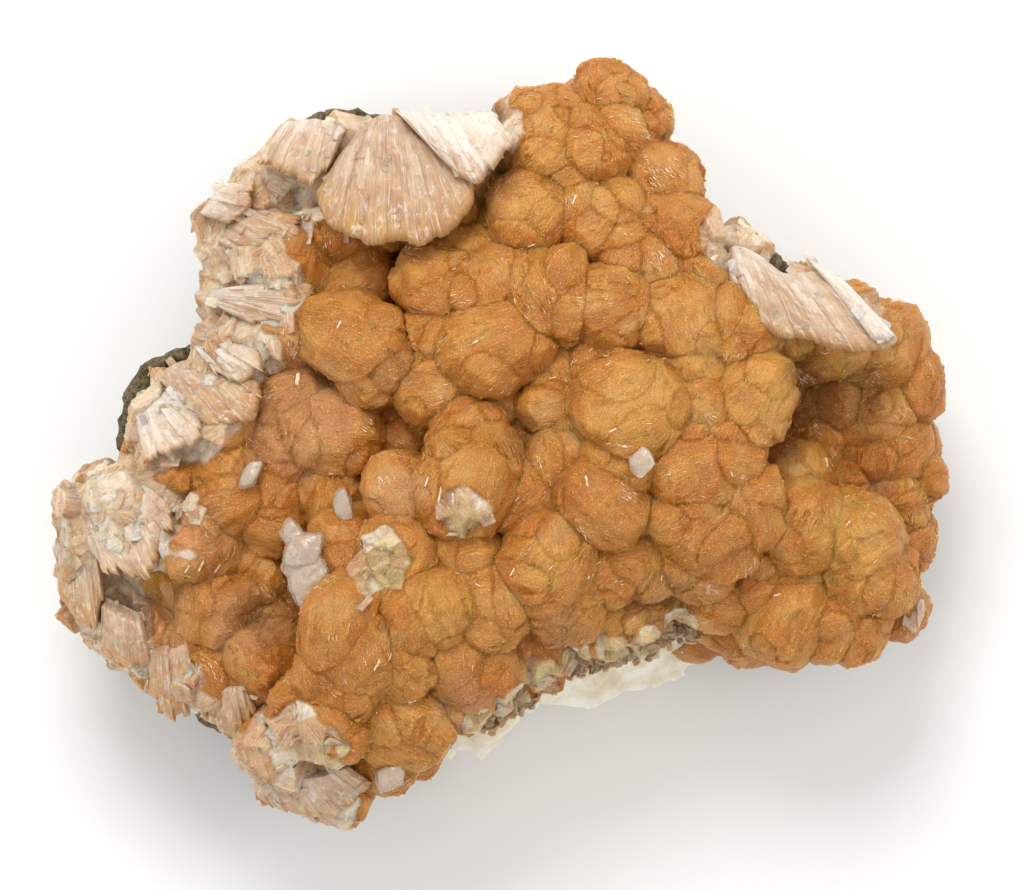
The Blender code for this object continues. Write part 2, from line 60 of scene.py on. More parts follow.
# Stilbite sheaves, each a round-topped bundle of blades: x, y, height of its top, radius
SHEAVES = {
    "crown": (
        (6.2, 43.2, 38, 3.9), (14.3, 46.2, 40, 3.5), (17.7, 43.1, 36, 3.5), (21.2, 34.6, 42, 4.3),
        (22.9, 28.4, 44, 4.8), (24.6, 23.5, 42, 3.9), (13.1, 39.1, 44, 4.6), (6.4, 39.1, 43, 4.8),
        (9.1, 35.1, 42, 4.4), (3.7, 30.4, 46, 4.9), (11.1, 29.1, 45, 4.4), (15.1, 30.4, 44, 3.6),
        (17.1, 24.4, 45, 4.6),
    ),
    "middle": (
        (-2.9, 24.1, 41, 3.6), (-8.3, 21.1, 44, 4.6), (-0.3, 20.4, 47, 4.9), (6.4, 19.1, 49, 5.1),
        (14.4, 17.7, 48, 4.9), (-8.3, 15.7, 43, 4.1), (-0.3, 13.1, 50, 6.2), (7.7, 9.1, 44, 3.6),
        (-8.3, 7.7, 44, 4.9), (-1.6, 5.7, 43, 3.6), (7.7, 5.1, 45, 4.1), (2.4, 0.4, 40, 3.3),
        (17.1, 4.4, 52, 6.7), (13.1, 11.1, 45, 3.6), (23.7, 16.4, 47, 5.4), (31.1, 15.1, 44, 4.9),
        (25.1, 9.7, 45, 4.1), (32.4, 5.7, 45, 5.3), (26.4, 4.4, 46, 4.1), (29.1, -0.9, 46, 4.9),
        (25.1, -3.6, 48, 6.1), (26.4, -10.3, 47, 6.6), (31.7, -7.6, 44, 4.6), (25.1, -15.6, 43, 4.6),
        (21.1, -19.6, 33, 3.2), (29.1, -20.9, 36, 3.4), (13.1, -7.6, 49.6, 5.3), (15.7, -2.3, 48, 3.6),
        (7.7, -2.3, 46, 4.1), (3.7, -6.3, 46, 4.6), (5.7, -15.6, 49, 5.4), (7.7, -20.9, 45, 4.6),
        (14.4, -15.6, 44, 4.6), (18.4, -15.6, 43, 4.1), (13.1, -23.0, 37, 3.9), (18.4, -22.5, 36, 3.3),
    ),
    "lower": (
        (-4.3, -4.9, 50, 6.2), (-4.3, 0.4, 46, 4.6), (-13.6, -6.3, 45, 4.1), (-13.6, -14.3, 47, 4.5),
        (-20.3, -13.6, 42, 4.1), (-5.6, -14.3, 44, 4.1), (-1.6, -20.9, 47, 5.3),
        (-10.3, -21.6, 48, 5.6), (-20.3, -26.3, 49, 6.4), (-21.6, -31.6, 45, 4.1),
        (-13.6, -28.9, 44, 4.6), (-4.3, -28.9, 43, 5.6), (2.4, -26.3, 38, 4.6), (5.1, -28.5, 34, 3.2),
        (-6.0, -34.4, 36, 3.7), (-13.6, -36.9, 42, 5.8), (-24.3, -36.9, 45, 5.1),
        (-16.3, -43.0, 34, 3.3), (-12.4, -41.9, 24, 2.8), (-22.9, -45.9, 32, 4.5),
        (-27.9, -43.9, 33, 3.8), (-29.6, -41.0, 37, 4.0),
    ),
    "left": (
        (-19.6, 13.7, 46, 5.9), (-16.3, 9.7, 44, 4.1), (-22.9, 1.7, 42, 5.7), (-28.3, 5.7, 39, 4.1),
        (-30.9, 0.4, 38, 4.9), (-36.9, -3.6, 38, 4.6), (-22.9, -6.3, 38, 4.6), (-30.9, -8.9, 38, 4.6),
        (-36.3, -7.6, 39, 4.1), (-13.6, 1.7, 36, 3.9), (-33.6, -15.6, 33, 3.5), (-38.3, -22.3, 37, 4.9),
        (-29.6, -23.6, 31, 3.8), (-41.6, -12.9, 40, 4.2), (-32.3, -30.3, 38, 4.4),
        (-40.3, -29.6, 33, 4.9), (-28.3, -31.6, 34, 2.8), (-34.9, -35.2, 30, 3.8),
        (-46.9, -26.3, 31, 5.4), (-52.3, -24.5, 26, 4.6), (-56.4, -15.6, 30, 3.4), (-56.0, -9.2, 30, 3.0),
        (-55.8, -20.9, 26, 3.2), (-49.6, -10.3, 38, 5.8), (-44.3, -3.6, 36, 4.6), (-47.2, -1.1, 32, 2.6),
        (-42.9, 3.1, 38, 5.4), (-44.6, 5.7, 33, 2.8), (-36.9, 6.4, 40, 5.4), (-35.6, 12.4, 39, 4.3),
        (-28.9, 15.1, 41, 4.8), (-29.6, 24.4, 42, 5.4), (-35.2, 28.4, 34, 4.6), (-36.2, 20.4, 32, 3.5),
        (-31.9, 32.9, 36, 3.7), (-27.0, 37.9, 37, 3.6), (-22.9, 38.3, 39, 4.6), (-14.9, 34.0, 40, 5.6),
        (-8.3, 31.4, 41, 4.8), (-20.3, 30.1, 39, 4.1), (-4.3, 37.3, 40, 4.5), (-18.9, 21.7, 37, 4.1),
        (-10.9, 37.9, 39, 4.1), (-24.3, 28.4, 38, 3.5),
    ),
    "fringe": (
        (-3.8, -36.8, 29, 1.6), (-1.6, -35.8, 29.5, 1.5), (0.6, -34.2, 30, 1.6), (2.4, -33.0, 30, 1.5),
        (4.4, -31.0, 30.5, 1.7), (6.4, -29.2, 30.5, 1.6), (8.6, -28.1, 31, 1.6), (10.9, -27.8, 31, 1.6),
        (13.3, -27.5, 31, 1.5), (15.7, -26.8, 31, 1.6), (18.0, -26.1, 30.5, 1.6), (20.4, -25.2, 30.5, 1.6),
        (22.6, -24.2, 30, 1.6), (25.0, -23.8, 30, 1.5),
    ),
    "right": (
        (31.1, 24.9, 37, 3.5), (38.6, 16.6, 42, 5.0), (45.3, 15.3, 41, 4.6), (49.1, 14.3, 38, 2.9),
        (39.7, 7.7, 27, 3.5), (46.4, 7.1, 30, 4.5), (52.4, 12.8, 33, 5.0), (55.0, 8.4, 31, 4.1),
        (51.7, 5.7, 32, 5.3), (44.4, 0.4, 28, 4.5), (53.1, -0.9, 31, 5.3), (57.2, -4.6, 27, 2.2),
        (47.7, -3.6, 27, 4.0), (53.1, -7.6, 28, 4.5), (54.9, -12.9, 25, 3.6), (38.4, 4.4, 24, 2.8),
        (53.1, -16.9, 24, 3.2), (54.2, -22.8, 25, 2.6), (39.1, -4.3, 36, 4.1), (39.7, -11.6, 41, 5.9),
        (47.7, -14.9, 40, 6.0), (50.4, -18.3, 38, 4.4), (38.4, -22.3, 38, 5.5), (43.7, -23.6, 35, 4.1),
        (47.8, -24.2, 32, 3.8), (34.4, -18.3, 37, 4.1), (31.7, -24.9, 29, 3.0), (34.4, -15.6, 38, 3.5),
    ),
}
# What turns a listed sheaf into a lobe: added to its radius, its height against its width, how far its
# top is drawn to the mean of the tops around it and over what distance, and how far its back runs in
WIDENED = 0.9
FLATTENED = 0.7
EVENED = 0.42
EVENED_OVER = 8.0
TAIL = 9.0
# The root that a sheaf points away from: its height, and its place as a share of the sheaf's own
ROOT_HEIGHT = 12.0
ROOT_SHARE = 0.55
# How wide a crease is, as a share of a lobe, how far a lobe's waist leans in radians, and the lowest
# height of a skin, which keeps it off the paper
CREASE_WIDTH = 0.3
WAIST_LEAN = 1.25
LOWEST_SKIN = 0.4
# Blade bundles to a whole lobe, large and small, and the width and length of a packet of blades
BUNDLES = 26
SMALL_BUNDLES = 110
PACKET_WIDTH = 1.35
PACKET_LENGTH = 3.4
# The size of a slab of torn crust, and how far from the slab its blades start to spread
SLAB_SIZE = 4.4
SLAB_REACH = 9.0

# Blades that stand on a surface, kind by kind: half width and half thickness of a blade of size 1, how
# many stand on a square metre, the smallest and largest size, how much they follow the surface's
# outward direction against the stored one, and how far they are turned at random, in radians. The
# number of plain blades is a setting as well.
BLADE_KINDS = {
    "blades": (0.34, 0.06, 1e6, 0.55, 1.15, 1.2, 0.35),
    "plates": (0.34, 0.06, 0.05e6, 1.0, 3.4, 0.35, 0.3),
    # Streaks are tiny blades in the near-white bare blade colour, a painted glint
    "streaks": (0.07, 0.05, 9e6, 0.2, 0.75, 0.0, 0.35),
    "splinters": (0.34, 0.06, 0.04e6, 0.8, 2.0, 0.05, 0.22),
    "fringe": (0.34, 0.06, 1.7e6, 1.0, 2.0, 0.2, 0.6),
}

# Where each random draw starts. For the sheaves and what stands on them the group's number is added
SEEDS = {
    "sheaves": 100, "blades": 0, "plates": 60, "streaks": 80, "core": 7, "splinters": 40, "seam": 31,
    "fringe": 70,
}

# The grown-together mass under the sheaves: x, y, height of its top, radius along x, radius along y
CORE_MASSES = (
    (6, 20, 42, 21, 20), (12, -4, 44, 21, 17), (-8, -20, 42, 18, 14), (-24, 10, 36, 15, 18),
    (-34, -14, 33, 19, 15), (-19, 31, 36, 16, 8), (44, 2, 24, 13, 16), (41, -16, 34, 13, 10),
    (12, 38, 36, 10, 9), (-24, -36, 32, 11, 10), (-50, -16, 24, 8, 12), (36, 18, 32, 12, 6),
    (-6, -31, 31, 8, 7),
)
CORE_FLOOR = 9.0

# The edge of the specimen seen from above: x, y, height of the crust's rim, height of the basalt's
# rim. A crust height of 0 marks the stretch where calcite shows in place of the crust
EDGE = (
    (-28.9, 43.1, 29, 33), (-22.9, 44.8, 29, 34), (-16.9, 43.9, 31, 33), (-10.3, 42.0, 33, 20),
    (0.4, 43.3, 33, 13), (2.0, 47.1, 30, 12), (7.7, 48.7, 31, 12), (13.7, 51.5, 32, 12),
    (18.4, 48.4, 30, 12), (21.7, 42.4, 31, 12), (26.4, 35.1, 33, 13), (28.0, 30.8, 33, 14),
    (34.0, 26.8, 30, 22), (38.4, 24.3, 28, 38), (45.1, 20.6, 30, 16), (48.9, 18.2, 26, 12),
    (52.4, 19.3, 25, 10), (58.4, 15.1, 24, 10), (59.4, 10.4, 23, 10), (57.0, 1.7, 22, 10),
    (60.0, -2.9, 21, 10), (57.5, -8.0, 20, 10), (58.6, -14.3, 18, 10), (56.5, -20.6, 17, 10),
    (54.0, -27.0, 19, 10), (47.7, -29.4, 23, 10), (42.4, -29.8, 25, 10), (33.7, -29.4, 21, 10),
    (28.0, -27.0, 20, 9), (19.1, -28.5, 0, 8), (11.7, -30.0, 0, 8), (3.1, -31.0, 0, 8),
    (-2.0, -36.0, 0, 9), (-8.3, -39.5, 0, 10), (-10.6, -44.6, 17, 10), (-14.3, -45.6, 23, 11),
    (-17.6, -47.8, 23, 12), (-22.0, -51.2, 18, 13), (-32.0, -47.8, 23, 17), (-34.6, -42.4, 25, 23),
    (-41.6, -38.2, 21, 19), (-46.9, -35.4, 19, 13), (-51.6, -31.8, 17, 12), (-55.8, -27.0, 17, 10),
    (-59.3, -20.3, 19, 10), (-59.0, -15.0, 21, 10), (-60.0, -8.5, 23, 10), (-57.2, -5.0, 21, 12),
    (-52.6, -3.6, 21, 22), (-50.9, 5.7, 21, 28), (-48.9, 10.6, 21, 29), (-43.6, 12.3, 21, 28),
    (-40.5, 15.5, 21, 27), (-39.8, 24.1, 23, 26), (-41.3, 29.7, 25, 17), (-40.3, 33.9, 25, 16),
    (-34.9, 37.9, 27, 16), (-31.0, 41.0, 28, 28),
)
# Above the first height the basalt's rim shows bare. The second is the height of its inner shelf
BARE_ROCK = 20.0
ROCK_TOP = 15.0
# The sheaves of the side walls: the distance from one to the next, and for each of the two rows how far
# it is below the rim and in from the edge, in radii, and its size
FLANK_PITCH = 6.0
FLANK_ROWS = ((-0.6, 1.3, 1.0), (1.1, 1.4, 0.9))

# Broken sheets of blades, which make up the torn fans at the rim. The blades run from a root edge to
# an edge of tips, each a row of x, y and z. Then: thickness, amber (how far the cream gives way to
# amber; below 0 it is whiter), and raggedness of the row of tips
BROKEN_SHEETS = {
    "top": (
        (((-20.0, 39.1, 42), (-17.9, 41.5, 42.5), (-15.6, 42.8, 43), (-13.3, 42.5, 43), (-10.3, 40.4, 43),
          (-7.6, 38.0, 43)),
         ((-24.5, 31.7, 43.5), (-23.2, 27.7, 44.5), (-20.3, 25.9, 45.5), (-15.6, 24.8, 46.5),
          (-10.3, 24.8, 46.5), (-6.7, 26.3, 46.5), (-4.0, 28.7, 46), (-2.9, 31.7, 45.5),
          (-4.0, 35.1, 45)), 6.5, 0.7, 0.12),
        (((-13.9, 43.3, 43), (-10.3, 42.8, 43.5), (-5.6, 42.9, 44), (-1.6, 43.1, 43)),
         ((-8.3, 37.1, 46), (-5.3, 33.7, 47.5), (-2.9, 32.4, 48), (-0.3, 35.1, 47.5), (1.9, 39.1, 46)),
         5.5, -0.5, 0.3),
        (((-28.3, 42.0, 39), (-24.3, 42.4, 40), (-20.3, 41.1, 41)),
         ((-32.0, 36.4, 41), (-28.9, 33.7, 42.5), (-24.5, 32.4, 43.5), (-22.3, 35.7, 43)), 5.0, 0.0, 0.6),
        (((-37.8, 26.6, 36), (-35.0, 29.8, 37), (-31.8, 30.6, 38)),
         ((-33.0, 24.0, 38.5), (-27.6, 23.4, 39.5), (-24.6, 26.4, 40.5), (-26.2, 29.6, 40.5)),
         4.0, 1.0, 0.5),
        (((-38.9, 18.6, 35.5), (-37.9, 20.2, 36)),
         ((-31.5, 14.9, 40.0), (-26.6, 15.8, 41), (-23.8, 18.4, 41.5), (-24.8, 21.6, 41.5)), 4.5, -0.1, 0.5),
        (((-40.0, 30.2, 33), (-37.2, 34.0, 34.5)),
         ((-34.6, 28.2, 38.5), (-31.4, 30.4, 39.6), (-31.2, 34.2, 39.5)), 5.0, -0.15, 1.0),
    ),
    "left": (
        (((-45.6, 9.1, 34.5), (-42.3, 10.8, 35), (-38.3, 11.3, 36)),
         ((-39.6, 2.4, 39.5), (-34.9, 1.5, 41.5), (-32.0, 2.4, 42), (-30.7, 5.1, 42), (-31.2, 7.7, 41)),
         5.0, 0.75, 0.2),
        (((-40.9, 13.1, 35), (-38.3, 14.4, 36)),
         ((-36.9, 8.3, 40.5), (-32.9, 6.8, 42), (-30.3, 8.7, 42.5), (-30.7, 11.7, 42)), 5.0, -0.4, 0.8),
        (((-48.3, 3.7, 33), (-46.3, 6.4, 34), (-43.6, 7.7, 35)),
         ((-46.9, -2.5, 38), (-43.6, -2.3, 39.5), (-39.6, -1.2, 40.5), (-37.9, 1.1, 40.5),
          (-38.9, 5.1, 39.5)), 5.0, -0.4, 0.5),
        (((-54.9, -10.3, 30), (-54.7, -6.9, 30), (-51.6, -5.2, 32), (-47.6, -4.7, 34)),
         ((-52.3, -17.6, 35.5), (-47.6, -18.9, 37), (-44.0, -16.9, 38.5), (-42.7, -13.6, 39),
          (-42.7, -8.9, 38.5)), 5.5, -0.2, 0.5),
        (((-58.7, -6.0, 26), (-56.9, -5.2, 27.5), (-54.7, -6.3, 29)),
         ((-59.2, -20.9, 28), (-56.9, -24.3, 28.5), (-53.6, -26.3, 29.5), (-52.5, -20.9, 31.5)),
         6.0, 0.35, 0.15),
        (((-52.9, -20.3, 31), (-47.6, -22.6, 33.5)),
         ((-53.4, -29.0, 27), (-49.2, -31.8, 28.5), (-45.8, -30.2, 30.5)), 6.0, 0.6, 0.8),
        (((-46.6, -26.4, 31.5), (-41.6, -25.0, 34)),
         ((-48.0, -34.6, 27), (-43.4, -37.6, 29), (-38.6, -36.0, 31.5)), 6.0, 1.0, 0.8),
        (((-38.2, -31.4, 32), (-34.0, -30.6, 34.5)),
         ((-40.6, -37.6, 28), (-35.2, -40.2, 30), (-31.8, -36.6, 33)), 6.0, 0.9, 0.9),
        (((-34.3, -40.3, 34.5), (-33.9, -38.3, 35.5), (-32.0, -37.2, 36)),
         ((-26.9, -42.0, 37.5), (-21.6, -40.9, 38.5), (-20.5, -39.9, 39), (-24.3, -37.2, 39.5)),
         4.5, -0.45, 0.3),
        (((-34.5, -41.2, 32), (-30.9, -42.5, 34), (-24.3, -42.9, 35.5), (-20.9, -42.0, 36)),
         ((-32.0, -47.6, 31.5), (-26.9, -50.0, 31.5), (-21.6, -50.6, 31), (-18.7, -47.6, 33),
          (-16.6, -45.0, 34)), 6.0, 0.3, 0.5),
    ),
    "right": (
        (((29.0, 22.4, 40.5), (29.9, 26.4, 39.5), (33.6, 24.6, 41), (36.6, 21.9, 42), (40.6, 22.4, 42),
          (44.0, 21.7, 42)),
         ((31.0, 17.6, 43), (33.9, 13.9, 43.6), (39.4, 12.6, 44.2), (45.4, 11.4, 44.2),
          (50.6, 11.2, 43.5), (51.8, 13.1, 43)), 5.0, 0.0, 0.15),
        (((39.7, 24.1, 42.2), (44.0, 21.7, 42.4)), ((48.4, 12.6, 45.4), (51.6, 13.1, 44.0)), 3.0, -0.9, 0.1),
        (((53.7, -18.9, 25), (56.0, -18.5, 24)),
         ((52.8, -24.7, 28), (55.1, -26.3, 28), (56.5, -22.3, 27)), 4.0, -0.4, 0.2),
    ),
}

# Points on each smoothed edge of a sheet, and how far its root edge is sunk into the crust
LINE_POINTS = 61
ROOT_SUNK = 2.6

# Blades that lie bare on the lobes, whose near-white colour is a painted glint, and loose pale chips:
# x, y, length, width, heading in degrees
BARE_BLADES = (
    (10.9, -4.9, 2.0, 0.55, 98), (-21.0, 15.3, 1.6, 0.4, 60), (20.8, 10.8, 1.5, 0.4, 40),
    (14.2, 1.6, 1.5, 0.5, 20),
    (15.5, -0.4, 1.9, 0.5, -12), (-16.1, -28.7, 1.8, 0.6, 62), (-14.4, -27.6, 1.2, 0.3, 58),
    (-3.4, 12.9, 1.3, 0.4, 30),
    (-7.9, -6.5, 2.6, 0.5, 78), (-6.2, -7.2, 2.4, 0.4, 84), (-9.6, -5.0, 1.8, 0.4, 70),
    (36.0, -19.9, 1.4, 0.4, 10),
    (29.6, -4.0, 1.2, 0.3, 120), (42.9, -2.6, 1.6, 0.5, 84), (6.6, 8.4, 1.4, 0.3, 15),
    (-26.6, 8.3, 2.2, 1.0, 84),
    (-32.8, -3.9, 2.4, 1.2, 70), (17.9, -1.9, 1.6, 1.6, 20), (-33.0, -33.4, 2.8, 1.3, 8),
    (27.5, 24.0, 1.8, 1.0, 30),
    (-17.0, -13.5, 2.6, 1.3, 40), (-17.6, -17.2, 2.2, 1.5, 60), (-37.2, -16.4, 2.2, 0.4, 80),
    (-39.2, -16.0, 2.4, 0.5, 74),
    (-41.0, -16.4, 2.0, 0.4, 68), (52.5, 18.9, 2.2, 1.0, 20), (3.9, 25.5, 1.4, 0.3, 22),
    (9.4, 31.5, 1.6, 0.4, 70),
    (20.5, 24.4, 1.5, 0.3, 130), (45.2, -10.6, 1.5, 0.4, 55), (1.4, -16.6, 1.6, 0.4, 62),
    (-11.6, -33.6, 1.4, 0.3, 40),
)

# Where the crust changes colour, seen from above, and where a painted shade darkens its hollows: x, y
# and radius of each soft-edged patch. The spots are those along the seam, pale and lemon at once
FRINGE_SPOTS = (
    (-2.8, -36.8, 3), (1.5, -33.6, 3), (5.4, -30.0, 3), (9.7, -28.2, 3), (14.5, -27.4, 3), (19.2, -26.0, 3),
    (23.8, -24.2, 3),
)
TINTS = {
    "pale": (
        (-26.9, 38.0, 12), (-37.5, 27.0, 12), (-30.0, 19.0, 6), (-36.0, 12.5, 9), (-43.0, 5.0, 11),
        (-50.6, -10.3, 12), (-57.0, -15.0, 9), (-53.0, -25.0, 9), (-43.6, -35.0, 8), (-28.0, -41.0, 9),
        (-26.0, -47.6, 8), (-3.0, 41.0, 7), (-15.6, -15.6, 5), (30.5, 27.0, 5), (48.0, 17.5, 3),
        (-14.0, 40.0, 9), (37.0, 22.0, 5), (-5.0, -8.5, 4), *FRINGE_SPOTS,
    ),
    "pink": (
        (-27.0, 3.0, 11), (-41.0, -12.0, 8), (-13.6, -6.3, 5), (-30.0, 12.0, 7), (-5.6, -34.3, 5),
        (-34.0, -24.0, 7), (50.4, -5.6, 3), (-30.0, 30.0, 7), (-46.0, -24.0, 8),
    ),
    "gold": (
        (17.1, 4.4, 8), (32.4, 5.7, 6), (37.6, 12.4, 4.5), (44.6, 11.6, 5), (38.0, -3.0, 4),
        (5.1, 30.4, 5), (5.7, -15.6, 5),
        (45.0, -12.0, 7), (39.5, -3.5, 4), (-8.3, -21.6, 6),
    ),
    "lemon": (
        *FRINGE_SPOTS, (-14.0, -15.5, 5), (-5.0, -9.5, 3), (-21.5, -41.0, 4),
    ),
    # Patches in the hollows between lobes, a painted shade of dusky brown
    "dusk": (
        (-13.6, 9.0, 4), (39.7, 7.7, 5), (21.0, -21.0, 6), (37.0, -1.0, 4), (-29.6, -23.6, 5),
        (2.4, 0.8, 4), (-0.5, 34.5, 4), (46.0, 6.0, 6), (8.0, -24.0, 4),
    ),
}

# Sections across the calcite seam: x, y and height of its outer edge, y and height of its shoulder
SEAM_SECTIONS = (
    (-9.0, -41.9, 15, -39.0, 21), (-2.4, -41.4, 14, -38.0, 22), (-1.0, -38.8, 15, -35.6, 23),
    (1.2, -36.7, 16, -33.4, 24), (3.4, -35.3, 17, -31.2, 25), (6.6, -35.4, 16, -29.0, 25),
    (11.7, -36.1, 15, -26.8, 25), (15.7, -33.9, 15, -25.8, 25), (19.1, -33.5, 14, -25.0, 25),
    (23.7, -30.7, 15, -24.2, 25), (27.6, -27.9, 16, -24.0, 24),
)
# How far the seam goes in behind its shoulder, the height of its foot, how far the foot is set in from
# the outer edge, and the number of cleavage rhombs over it
SEAM_BACK_WIDTH = 7.0
SEAM_BOTTOM = 3.2
SEAM_FOOT_INSET = 4.0
SEAM_RHOMBS = 90

# Where small yellow blades fringe the contact between the crust and the seam: x, y and height
FRINGE = (
    (-4.4, -38.0, 27.5), (-1.6, -37.0, 28), (0.8, -35.4, 28.5), (2.8, -33.8, 28.5), (4.8, -32.0, 29),
    (6.8, -30.2, 29), (9.0, -29.4, 29.2), (12.0, -29.0, 29.2), (15.7, -28.2, 29.2), (18.2, -27.4, 29),
    (20.6, -26.4, 29), (23.0, -25.4, 28.6), (25.6, -24.8, 28.4),
)

# Small calcite crystals that sit on the stilbite. Each is one or more grown-together rhombs: x, y and
# height of the middle, half sizes along x, y and z, turn about z in degrees
PERCHED_CALCITE = {
    "calcite_crystal_group": (
        (-25.0, -17.8, 39.8, 2.4, 2.2, 2.5, 20), (-25.8, -14.0, 40.6, 2.0, 1.9, 2.2, -12),
        (-27.2, -12.0, 39.8, 1.2, 1.5, 1.6, 35), (-23.5, -12.8, 40.0, 1.0, 1.3, 1.4, 10),
        (-26.9, -16.4, 39.8, 1.2, 1.4, 1.6, 50), (-23.2, -15.4, 39.8, 1.2, 1.3, 1.5, -30),
    ),
    "calcite_crystal_upper": ((-20.6, -8.4, 40.4, 1.0, 1.9, 1.5, 15),),
    "calcite_crystal_left": ((-32.8, -4.2, 38.6, 0.9, 1.5, 1.2, -20),),
    "calcite_crystal_middle": ((17.9, -2.5, 49.6, 1.3, 1.2, 1.2, 30),),
    "calcite_crystal_lower": ((-14.7, -43.8, 34.8, 1.6, 1.4, 1.4, 10),),
    "calcite_crystal_foot": ((-20.4, -45.6, 32.8, 1.4, 0.9, 1.1, 5),),
}
# How far calcite's faces lean, as a shear
RHOMB_LEAN = 0.28

# The studio, in metres: half the side of the paper, the point that the camera looks straight down at,
# the strength of the white walls, and each light's place, width and share of the key light's power
PAPER_HALF = 1.5
CAMERA_AIM = (0.00133, -0.00027, 0.025)
STUDIO_WALLS = 0.72
LIGHTS = (
    ("key", (-0.10, 0.50, 0.62), 0.36, 1.0),
    ("fill", (-0.55, -0.25, 0.50), 0.60, 0.2),
    ("edge", (0.60, 0.10, 0.45), 0.40, 0.2),
)


# Numbers, meshes and nodes


def unit(vectors):
    """Vectors of length one."""
    return vectors / np.linalg.norm(vectors, axis=-1, keepdims=True)


def dot(a, b):
    """The dot product of each row of one table with the same row of the other."""
    return np.einsum("ni,ni->n", a, b)


def lattice(cells, seed=0):
    """A repeatable number from 0 to 1 for each whole-number cell."""
    mixed = cells.astype(np.int64) @ np.array((73856093, 19349663, 83492791)) + seed * 668265263
    mixed = (mixed ^ (mixed >> 13)) * 1274126177
    return ((mixed ^ (mixed >> 16)) & 0xFFFF) / 65535.0


def smooth_noise(points, seed=0):
    """Soft noise from -1 to 1 at each point, one bump to a unit."""
    base = np.floor(points)
    part = points - base
    part = part * part * (3 - 2 * part)
    total = np.zeros(len(points))
    for corner in np.ndindex(2, 2, 2):
        share = np.where(corner, part, 1 - part).prod(axis=1)
        total += share * lattice(base + corner, seed)
    return total * 2 - 1


def smooth_step(values):
    """0 to 1, eased at both ends."""
    values = np.clip(values, 0, 1)
    return values * values * (3 - 2 * values)


def arrays_of(shape):
    """Points and faces of a bmesh, which is freed."""
    points = np.array([vertex.co for vertex in shape.verts])
    faces = np.array([[vertex.index for vertex in face.verts] for face in shape.faces])
    shape.free()
    return points, faces


def joined(parts):
    """Points and faces of several shapes, each given as points and faces, in one heap."""
    faces, count = [], 0
    for part_points, part_faces in parts:
        faces.append(part_faces + count)
        count += len(part_points)
    return np.concatenate([part_points for part_points, _ in parts]), np.concatenate(faces)


def mesh_from(name, points, faces):
    """A mesh from points in millimetres and an array of faces with equal numbers of corners."""
    mesh = bpy.data.meshes.new(name)
    faces = np.asarray(faces, np.int32)
    mesh.vertices.add(len(points))
    mesh.vertices.foreach_set("co", (np.asarray(points) * MM).astype(np.float32).ravel())
    mesh.loops.add(faces.size)
    mesh.loops.foreach_set("vertex_index", faces.ravel())
    mesh.polygons.add(len(faces))
    mesh.polygons.foreach_set("loop_start", np.arange(0, faces.size, faces.shape[1], dtype=np.int32))
    mesh.update(calc_edges=True)
    return mesh


def points_of(mesh):
    """The mesh's points, in millimetres."""
    flat = np.empty(len(mesh.vertices) * 3, np.float32)
    mesh.vertices.foreach_get("co", flat)
    return flat.reshape(-1, 3).astype(float) / MM


def normals_of(mesh):
    """The mesh's outward directions at its points."""
    flat = np.empty(len(mesh.vertices) * 3, np.float32)
    mesh.vertex_normals.foreach_get("vector", flat)
    return flat.reshape(-1, 3).astype(float)


def move_points(mesh, points):
    """Puts the mesh's points at new places, in millimetres."""
    mesh.vertices.foreach_set("co", (points * MM).astype(np.float32).ravel())
    mesh.update()


def keep(mesh, name, values):
    """Stores a number or a vector for each point, for the materials and the scatter tree."""
    kind, field = ("FLOAT", "value") if values.ndim == 1 else ("FLOAT_VECTOR", "vector")
    store = mesh.attributes.get(name) or mesh.attributes.new(name, kind, "POINT")
    store.data.foreach_set(field, values.astype(np.float32).ravel())


def show(mesh, material, node, smooth=True):
    """Puts a finished mesh in the scene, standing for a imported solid."""
    if not mesh.polygons:
        raise RuntimeError(f"{mesh.name} has no faces")
    if smooth:
        mesh.shade_smooth()
    else:
        mesh.shade_flat()
    mesh.materials.clear()
    mesh.materials.append(material)
    piece = bpy.data.objects.new(mesh.name, mesh)
    bpy.context.scene.collection.objects.link(piece)
    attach(piece, "root")
    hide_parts(node)


def evaluated_mesh(helper, name):
    """The mesh that a helper object's modifiers make. It removes the helper."""
    graph = bpy.context.evaluated_depsgraph_get()
    mesh = bpy.data.meshes.new_from_object(helper.evaluated_get(graph))
    mesh.name = name
    old = helper.data
    bpy.data.objects.remove(helper)
    bpy.data.meshes.remove(old)
    return mesh


def fused(name, points, faces, voxel):
    """Overlapping shapes joined into one closed skin."""
    helper = bpy.data.objects.new(name + "_heap", mesh_from(name + "_heap", points, faces))
    bpy.context.scene.collection.objects.link(helper)
    modifier = helper.modifiers.new("Fuse", "REMESH")
    modifier.mode = "VOXEL"
    modifier.voxel_size = voxel * MM
    return evaluated_mesh(helper, name)


def linear(colour):
    """The linear RGBA colour of an sRGB hex value, or of a colour setting, which is linear already."""
    if not isinstance(colour, str):
        return (*colour, 1.0)
    shares = [int(colour[i : i + 2], 16) / 255 for i in (1, 3, 5)]
    return (*(s / 12.92 if s <= 0.04045 else ((s + 0.055) / 1.055) ** 2.4 for s in shares), 1.0)


def add_node(tree, kind, inputs=None, output=0, **settings):
    """Adds a node with its settings and links, and gives back one of its outputs.

    An input takes a value, or the output that is linked to it. A colour is a hex value or a setting.
    """
    node = tree.nodes.new(kind)
    for name, value in settings.items():
        setattr(node, name, value)
    for name, value in (inputs or {}).items():
        if isinstance(value, bpy.types.NodeSocket):
            tree.links.new(value, node.inputs[name])
        elif node.inputs[name].type == "RGBA":
            node.inputs[name].default_value = linear(value)
        else:
            node.inputs[name].default_value = value
    return node.outputs[output] if len(node.outputs) else None


# Materials


def new_material(name):
    """An empty material and its tree."""
    material = bpy.data.materials.new(name)
    material.use_nodes = True
    material.node_tree.nodes.clear()
    return material, material.node_tree


